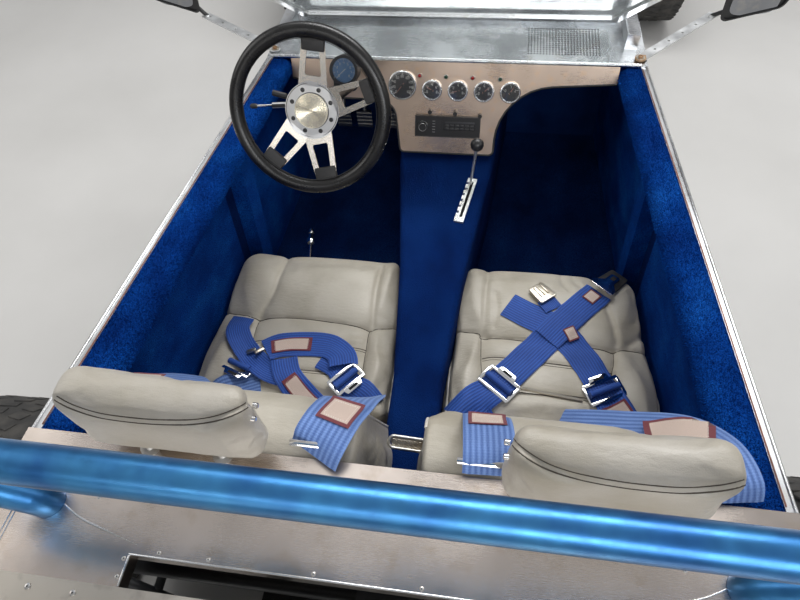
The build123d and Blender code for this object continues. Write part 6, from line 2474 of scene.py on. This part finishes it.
@dataclass
class BodyTrim:
    """Folded edges, rivets, screws and seams of the aluminium body."""

    slot_front: float = -1.419
    slot_half: float = 0.341
    deck_rivet: float = 0.0034
    cover_rivet: float = 0.0046
    side_rivet: float = 0.0036
    side_pitch: float = 0.085
    side_drop: float = 0.055
    vents_at: tuple[float, float] = (0.310, 0.046)
    vent_counts: tuple[int, int] = (24, 13)
    vent_pitch: tuple[float, float] = (0.0084, 0.0092)
    washer_at: Point = (0.511, -0.026, 0.7306)

    def edges(self) -> None:
        """Bright folded outer edges, and a thin binding between the metal and the carpet."""
        folded, binding = Shape(), Shape()
        for side in Side:
            path = [edge_at(y, 0.0028, 0.0006, side) for y in np.linspace(-1.298, -0.046, 40)]
            folded.tube(path, 0.0030, 8)
            path = [edge_at(y, 0.0140, 0.0002, side) for y in np.linspace(-1.240, -0.056, 40)]
            binding.tube(path, 0.0013, 6)
        folded.piece("folded_edges", Finish.SCREEN_ALLOY, BODY, "body_aluminium", ROUNDED)
        binding.piece("edge_binding", Finish.BINDING, BODY, "carpet", ROUNDED)

    def deck(self) -> None:
        """The slot's raised lip, and a crease and two welded seams at each end of the deck."""
        lip = Shape()
        front, half = self.slot_front, self.slot_half
        height = DECK_TOP + 0.0008
        lip.block(Matrix.Translation((0, front + 0.0015, height)), (2 * half + 0.006, 0.0028, 0.003), 0.0008)
        for way in (-1, 1):
            lip.block(Matrix.Translation((way * (half + 0.0015), front - 0.0205, height)),
                      (0.0028, 0.0410, 0.003), 0.0008)
        lip.piece("slot_lip", Finish.SCREEN_ALLOY, BODY, "body_aluminium")
        lines = Shape()
        for side in Side:
            path = smooth_path([(side.value * x, y, DECK_TOP) for x, y in (
                (0.488, -1.353), (0.440, -1.377), (0.393, -1.390), (0.338, -1.404))], 0.008)
            lines.tube(path, lambda s: 0.0004 + 0.0016 * math.sin(math.pi * s), 8)
            for shift in (0.0, 0.006):
                lines.tube([Vector((side.value * (0.546 + shift), -1.452, DECK_TOP)),
                            Vector((side.value * (0.542 + shift), -1.362, DECK_TOP))], 0.0009, 6)
        lines.piece("deck_creases", Finish.SCREEN_ALLOY, BODY, "body_aluminium", ROUNDED)

    def heads(self) -> None:
        """Rivets round the slot and along the cover, their hollow centres in painted shade, and plain ones along the
        sides.
        """
        deck = [(x, y, DECK_TOP) for x, y in (
            (-0.349, -1.424), (-0.349, -1.448), (-0.301, -1.411), (-0.227, -1.411), (-0.075, -1.411),
            (0.075, -1.411), (0.227, -1.411), (0.301, -1.411), (0.349, -1.424), (0.349, -1.448),
            (-0.422, -1.345), (0.422, -1.345))]
        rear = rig.box("rear_cover")[0][1] + 0.018
        cover = [(s * x, -1.476, COVER_TOP) for s in (-1, 1) for x in (0.468, 0.400, 0.200, 0.540)]
        cover += [(s * x, rear, COVER_TOP) for s in (-1, 1) for x in (0.1, 0.25, 0.4, 0.53)]
        rivets, holes = Shape(), Shape()
        for spot in deck + cover:
            place = Matrix.Translation(spot)
            size = self.deck_rivet if spot in deck else self.cover_rivet
            rivets.lathe([(0, 0), (size, 0), (size * 0.86, size * 0.32), (size * 0.45, size * 0.46),
                          (0, size * 0.46)], place, 12)
            # Painted shade: a near-black disc for the hollow in each rivet's centre
            holes.lathe([(0, size * 0.44), (size * 0.30, size * 0.44), (size * 0.26, size * 0.52),
                         (0, size * 0.52)], place, 8)
        rivets.piece("deck_rivets", Finish.STEEL, BODY, "steel")
        holes.piece("deck_rivet_centres", Finish.DARK_HOLE, BODY, "black_plastic")
        rows = [[self.on_side(side, y, self.side_drop) for y in np.linspace(-1.70, 0.30, 60)]
                for side in Side]
        beads("side_rivets", Lines(*rows), self.side_pitch, self.side_rivet, 0.55, Finish.STEEL, BODY,
              "steel")

    @staticmethod
    def on_side(side: Side, y: float, drop: float) -> Vector:
        """A point on the body's outer side, some way under its top edge."""
        tree = SIDES[side]
        z = edge_at(min(max(y, -1.30), 0.14)).z - drop
        hit = tree.ray_cast(Vector((side.value * OUTSIDE, y, z)), Vector((-side.value, 0, 0)))[0]
        return hit if hit is not None else Vector((side.value * 0.6, y, z))

    def vents(self) -> None:
        """The field of small round holes in the cowl, in front of the passenger, painted as dark discs of shade."""
        cowl = surface("cowl_panel")
        place = flat_on(cowl, *self.vents_at) @ Matrix.Translation((0, 0, 0.00012))
        # Painted shade: each hole is a flat near-black disc on the cowl, not an opening
        hole = Shape().lathe([(0, 0), (0.0024, 0), (0.0022, 0.00025), (0, 0.00025)], Matrix(), 8)
        grid_of("cowl_vent_holes", hole, self.vent_counts, self.vent_pitch, place, Finish.DARK_HOLE, BODY,
                "black_plastic")
        back = [flat_on(cowl, x, COWL_Y + 0.003).translation + Vector((0, 0, 0.0006))
                for x in np.linspace(-0.515, 0.515, 60)]
        bead = Shape().tube(back, 0.0026, 8)
        bead.piece("cowl_rolled_edge", Finish.SCREEN_ALLOY, BODY, "body_aluminium", ROUNDED)

    def pocket_shade(self) -> None:
        """Painted shade behind the pocket of each side lining: a thin panel in the darker carpet's finish."""
        shape = Shape()
        back, front, low, high = -0.525, -0.475, 0.195, 0.625
        for side in Side:
            spots = [self.inside(side, y, z)
                     for y, z in ((back, low), (front, low), (front, high), (back, high))]
            shape.loft([[p - Vector((side.value * off, 0, 0)) for p in spots] for off in (0.0018, 0.0002)])
        # No carpet lies there: the dark panel is painted shade in the pocket's recess
        shape.piece("pocket_carpets", Finish.TUNNEL_CARPET, BODY, "carpet")

    @staticmethod
    def inside(side: Side, y: float, z: float) -> Vector:
        """A point on the body side's inner face."""
        hit = SIDES[side].ray_cast(Vector((side.value * 0.2, y, z)), Vector((side.value, 0, 0)))[0]
        return hit if hit is not None else Vector((side.value * 0.58, y, z))

    def washers(self) -> None:
        """Rusty bolt heads on the mirror strips' feet, each on a wide washer."""
        bolts, rings = Shape(), Shape()
        across, along, height = self.washer_at
        for side in Side:
            place = Matrix.Translation((side.value * across, along, height))
            rings.lathe([(0, 0), (0.0115, 0), (0.0112, 0.0012), (0, 0.0012)], place, 24)
            bolts.lathe([(0, 0.001), (0.0068, 0.001), (0.0068, 0.0048), (0.0058, 0.0060), (0.0040, 0.0060),
                         (0.0034, 0.0036), (0, 0.0036)], place, 6)
        rings.piece("mirror_washers", Finish.WORN_STEEL, BODY, "steel")
        bolts.piece("mirror_bolts", Finish.RUSTED_BOLT, BODY, "steel")

    def build(self) -> None:
        """Makes all of the body's trim."""
        self.edges()
        self.deck()
        self.heads()
        self.vents()
        self.pocket_shade()
        self.washers()


@dataclass
class CabinFittings:
    """The seat's release lever, the belt anchor between the seats, mirror glass and painted shade in the gate's slot.
    """

    lever_foot: Point = (-0.385, -0.470, 0.305)
    lever_end: Point = (-0.408, -0.345, 0.300)
    anchor_at: Point = (0.008, -1.118, 0.575)
    links: int = 6
    link_pitch: float = 0.0105
    gate_at: Point = (0.071, -0.319, 0.4504)
    gate_turn: float = -9.5

    def seat_lever(self) -> None:
        """A chromed socket and handle in front of the driver's cushion."""
        rod = Shape()
        start, end = Vector(self.lever_foot), Vector(self.lever_end)
        floor = Vector((start.x, start.y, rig.box("floor_pan")[1][2]))
        rod.tube([start, start.lerp(end, 0.5), end], 0.0052, 12)
        place = placed(start.lerp(end, 0.62), end - start)
        rod.lathe([(0, 0), (0.0100, 0.001), (0.0118, 0.004), (0.0118, 0.020), (0.0095, 0.024),
                   (0.0095, 0.034), (0.0080, 0.037), (0, 0.037)], place, 20)
        rod.lathe([(0, -0.004), (0.0086, -0.004), (0.0092, 0.004), (0.0070, 0.010), (0, 0.011)],
                  placed(end, end - start), 16)
        rod.tube([floor, start], 0.0060, 12)
        rod.piece("seat_lever", Finish.CHROME, BODY, "chrome_trim", CREASED)

    def anchor(self) -> None:
        """A pale slotted plate with a worn middle, bolted beside the passenger's backrest."""
        quarter = Matrix.Rotation(math.radians(-90), 4, "Z")
        place = placed(self.anchor_at, (0.10, -0.45, 0.89), (0, 1, 0)) @ quarter
        plate = Shape()
        corner, half = 0.0115, 0.0255
        outer = [Vector((corner * math.cos(a),
                         half * (1 if math.sin(a) > 0 else -1) + corner * math.sin(a), 0))
                 for a in (math.tau * k / 32 for k in range(32))]
        plate.tube([place @ p for p in outer], 0.0034, 8, closed=True)
        plate.block(place @ Matrix.Translation((0, 0.041, 0)), (0.020, 0.010, 0.004), 0.0012)
        plate.piece("anchor_plate", Finish.PALE_STEEL, BODY, "steel", CREASED)
        links = Shape()
        askew = Matrix.Rotation(math.radians(35), 4, "Z")
        for k in range(self.links):
            spot = place @ Matrix.Translation((0, -0.026 + self.link_pitch * k, 0)) @ askew
            ring = [spot @ Vector((0.0058 * math.cos(a), 0.0046 * math.sin(a), 0.0006 * math.cos(2 * a)))
                    for a in (math.tau * j / 16 for j in range(16))]
            links.tube(ring, 0.0012, 6, closed=True)
        links.block(place @ Matrix.Translation((0, 0, -0.004)), (0.018, 0.060, 0.0015), 0.0004)
        links.piece("anchor_chain", Finish.WORN_STEEL, BODY, "steel", CREASED)
        stay = Shape().tube([place @ Vector((0, 0.044, 0)), Vector((0.058, -1.185, 0.56))], 0.0045, 8)
        stay.piece("anchor_stay", Finish.STEEL, BODY, "steel", CREASED)

    def mirror_glass(self) -> None:
        """The mirrors' silvered glass, sunk in their rims."""
        glass = Shape()
        tree = surface("mirrors")
        for middle, lean in (((0.809, 0.160, 0.7996), 10.0), ((-0.861, 0.153, 0.7996), -10.0)):
            way = Vector((math.sin(math.radians(lean)), -math.cos(math.radians(lean)), 0))
            hit = tree.ray_cast(Vector(middle) + way * 0.2, -way)[0]
            place = placed(hit + way * 0.0004, way, (0, 0, 1))
            outline = [(0.066 * math.copysign(abs(math.cos(a)) ** 0.55, math.cos(a)),
                        0.038 * math.copysign(abs(math.sin(a)) ** 0.55, math.sin(a)))
                       for a in (math.tau * k / 48 for k in range(48))]
            glass.plate(place, outline, 0.0012)
        glass.piece("mirror_glass", Finish.MIRROR, BODY, "chrome_trim")

    def build(self) -> None:
        """Makes the fittings."""
        self.seat_lever()
        self.anchor()
        self.mirror_glass()
        # Painted shade: a thin dark block where the gate's slot falls into shadow
        slot = Shape()
        place = Matrix.Translation(self.gate_at) @ Matrix.Rotation(math.radians(self.gate_turn), 4, "Z")
        slot.block(place @ Matrix.Translation((0.002, 0.002, 0.0012)), (0.0078, 0.144, 0.0016))
        slot.piece("gate_slot", Finish.DARK_HOLE, BODY, "black_plastic")


@dataclass
class RunningGear:
    """Tread, side bands, wheel nuts, hub caps, valves and coil springs."""

    front: tuple[float, float, float, float] = (0.868, 1.570, 0.310, 0.225)
    rear: tuple[float, float, float, float] = (0.832, -1.360, 0.330, 0.265)
    blocks: int = 54
    nuts: int = 5

    def wheel(self, name: str, side: Side, sizes: tuple[float, float, float, float]) -> None:
        """One wheel's tread blocks, side bands, nuts, hub cap and valve."""
        x, y, radius, width = sizes
        axle = placed((side.value * x, y, radius), (side.value, 0, 0), (0, 0, 1))
        body = f"{name}_{side.name.lower()}_wheel"
        block = Shape()
        lanes = ((-0.36, 0.040, 18), (-0.13, 0.034, -14), (0.10, 0.034, 14), (0.34, 0.040, -18))
        for lane, (reach, wide, skew) in enumerate(lanes):
            half = abs(reach) * width
            drop = 0.0 if half < width / 2 - 0.056 else (half - (width / 2 - 0.056)) * 0.17
            spot = Matrix.Rotation(math.radians(2.2 * lane), 4, "Z") @ Matrix.Translation(
                (radius - drop + 0.0002, 0, reach * width)) @ Matrix.Rotation(math.radians(skew), 4, "X")
            block.block(spot, (0.0044, 0.026, wide), 0.0012)
        ring_of(f"{body}_tread", block, self.blocks, axle, Finish.TYRE, body, "tyre_rubber", 30.0)
        bands = Shape()
        for reach, height in ((0.218, 0.6), (0.228, 0.8), (0.245, 0.8)):
            face = width / 2 - 0.004 if reach > 0.235 else width / 2 - 0.0025
            bands.tube(circle(axle, reach, face, 96), 0.0016 * height, 6, closed=True)
        bands.piece(f"{body}_bands", Finish.TYRE, body, "tyre_rubber", ROUNDED)
        nut = Shape().lathe([(0, 0), (0.0115, 0), (0.0115, 0.012), (0.0085, 0.017), (0.0040, 0.019),
                             (0, 0.019)], Matrix.Translation((0.050, 0, 0.050)), 6)
        ring_of(f"{body}_nuts", nut, self.nuts, axle, Finish.CHROME, body, "chrome_trim", 25.0)
        cap = Shape().lathe([(0, 0), (0.016, 0), (0.016, 0.010), (0.012, 0.016), (0, 0.018)],
                            axle @ Matrix.Translation((0, 0, 0.048)), 24)
        cap.piece(f"{body}_cap", Finish.BLACK_METAL, body, "black_plastic")
        stem = [axle @ Vector((0.172, 0, width / 2 - 0.040)), axle @ Vector((0.163, 0, width / 2 - 0.012))]
        valve = Shape().tube(stem, lambda s: 0.0036 - 0.0010 * s, 10)
        valve.piece(f"{body}_valve", Finish.BLACK_PLASTIC, body, "black_plastic", CREASED)

    def build(self) -> None:
        """Fits all four wheels and four springs."""
        for side in Side:
            self.wheel("front", side, self.front)
            self.wheel("rear", side, self.rear)
            name = side.name.lower()
            for place, foot, head in (("front", (0.620, 1.570, 0.178), (0.436, 1.570, 0.515)),
                                      ("rear", (0.444, -1.300, 0.1725), (0.444, -1.300, 0.670))):
                low, high = (Vector((side.value * p[0], p[1], p[2])) for p in (foot, head))
                coil(f"{place}_{name}_spring", low.lerp(high, 0.245), low.lerp(high, 0.875), 0.030, 0.0052,
                     7.0, Finish.SPRING, BODY, "frame_paint")


SIDES = {side: surface(f"body_side_{side.name.lower()}") for side in Side}


ASSEMBLIES: tuple[type, ...] = (Cushions, Backrests, HeadPads, Harnesses, WheelFittings, Dash, BodyTrim,
                               CabinFittings, Pile, RunningGear)


def main() -> None:
    """Builds the car's looks, sub-assembly by sub-assembly."""
    Studio().build()
    finish_rigid_pieces()
    finish_zoned_pieces()
    face_engine_bay()
    for assembly in ASSEMBLIES:
        LOG.info("building %s", assembly.__name__)
        assembly().build()
    sizes = {"cad": CAD_BOX, "visual": [[float(v) for v in corner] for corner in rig.bounds()]}
    with open("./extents.json", "w", encoding="utf-8") as file:
        json.dump(sizes, file)


if __name__ == "__main__":
    main()
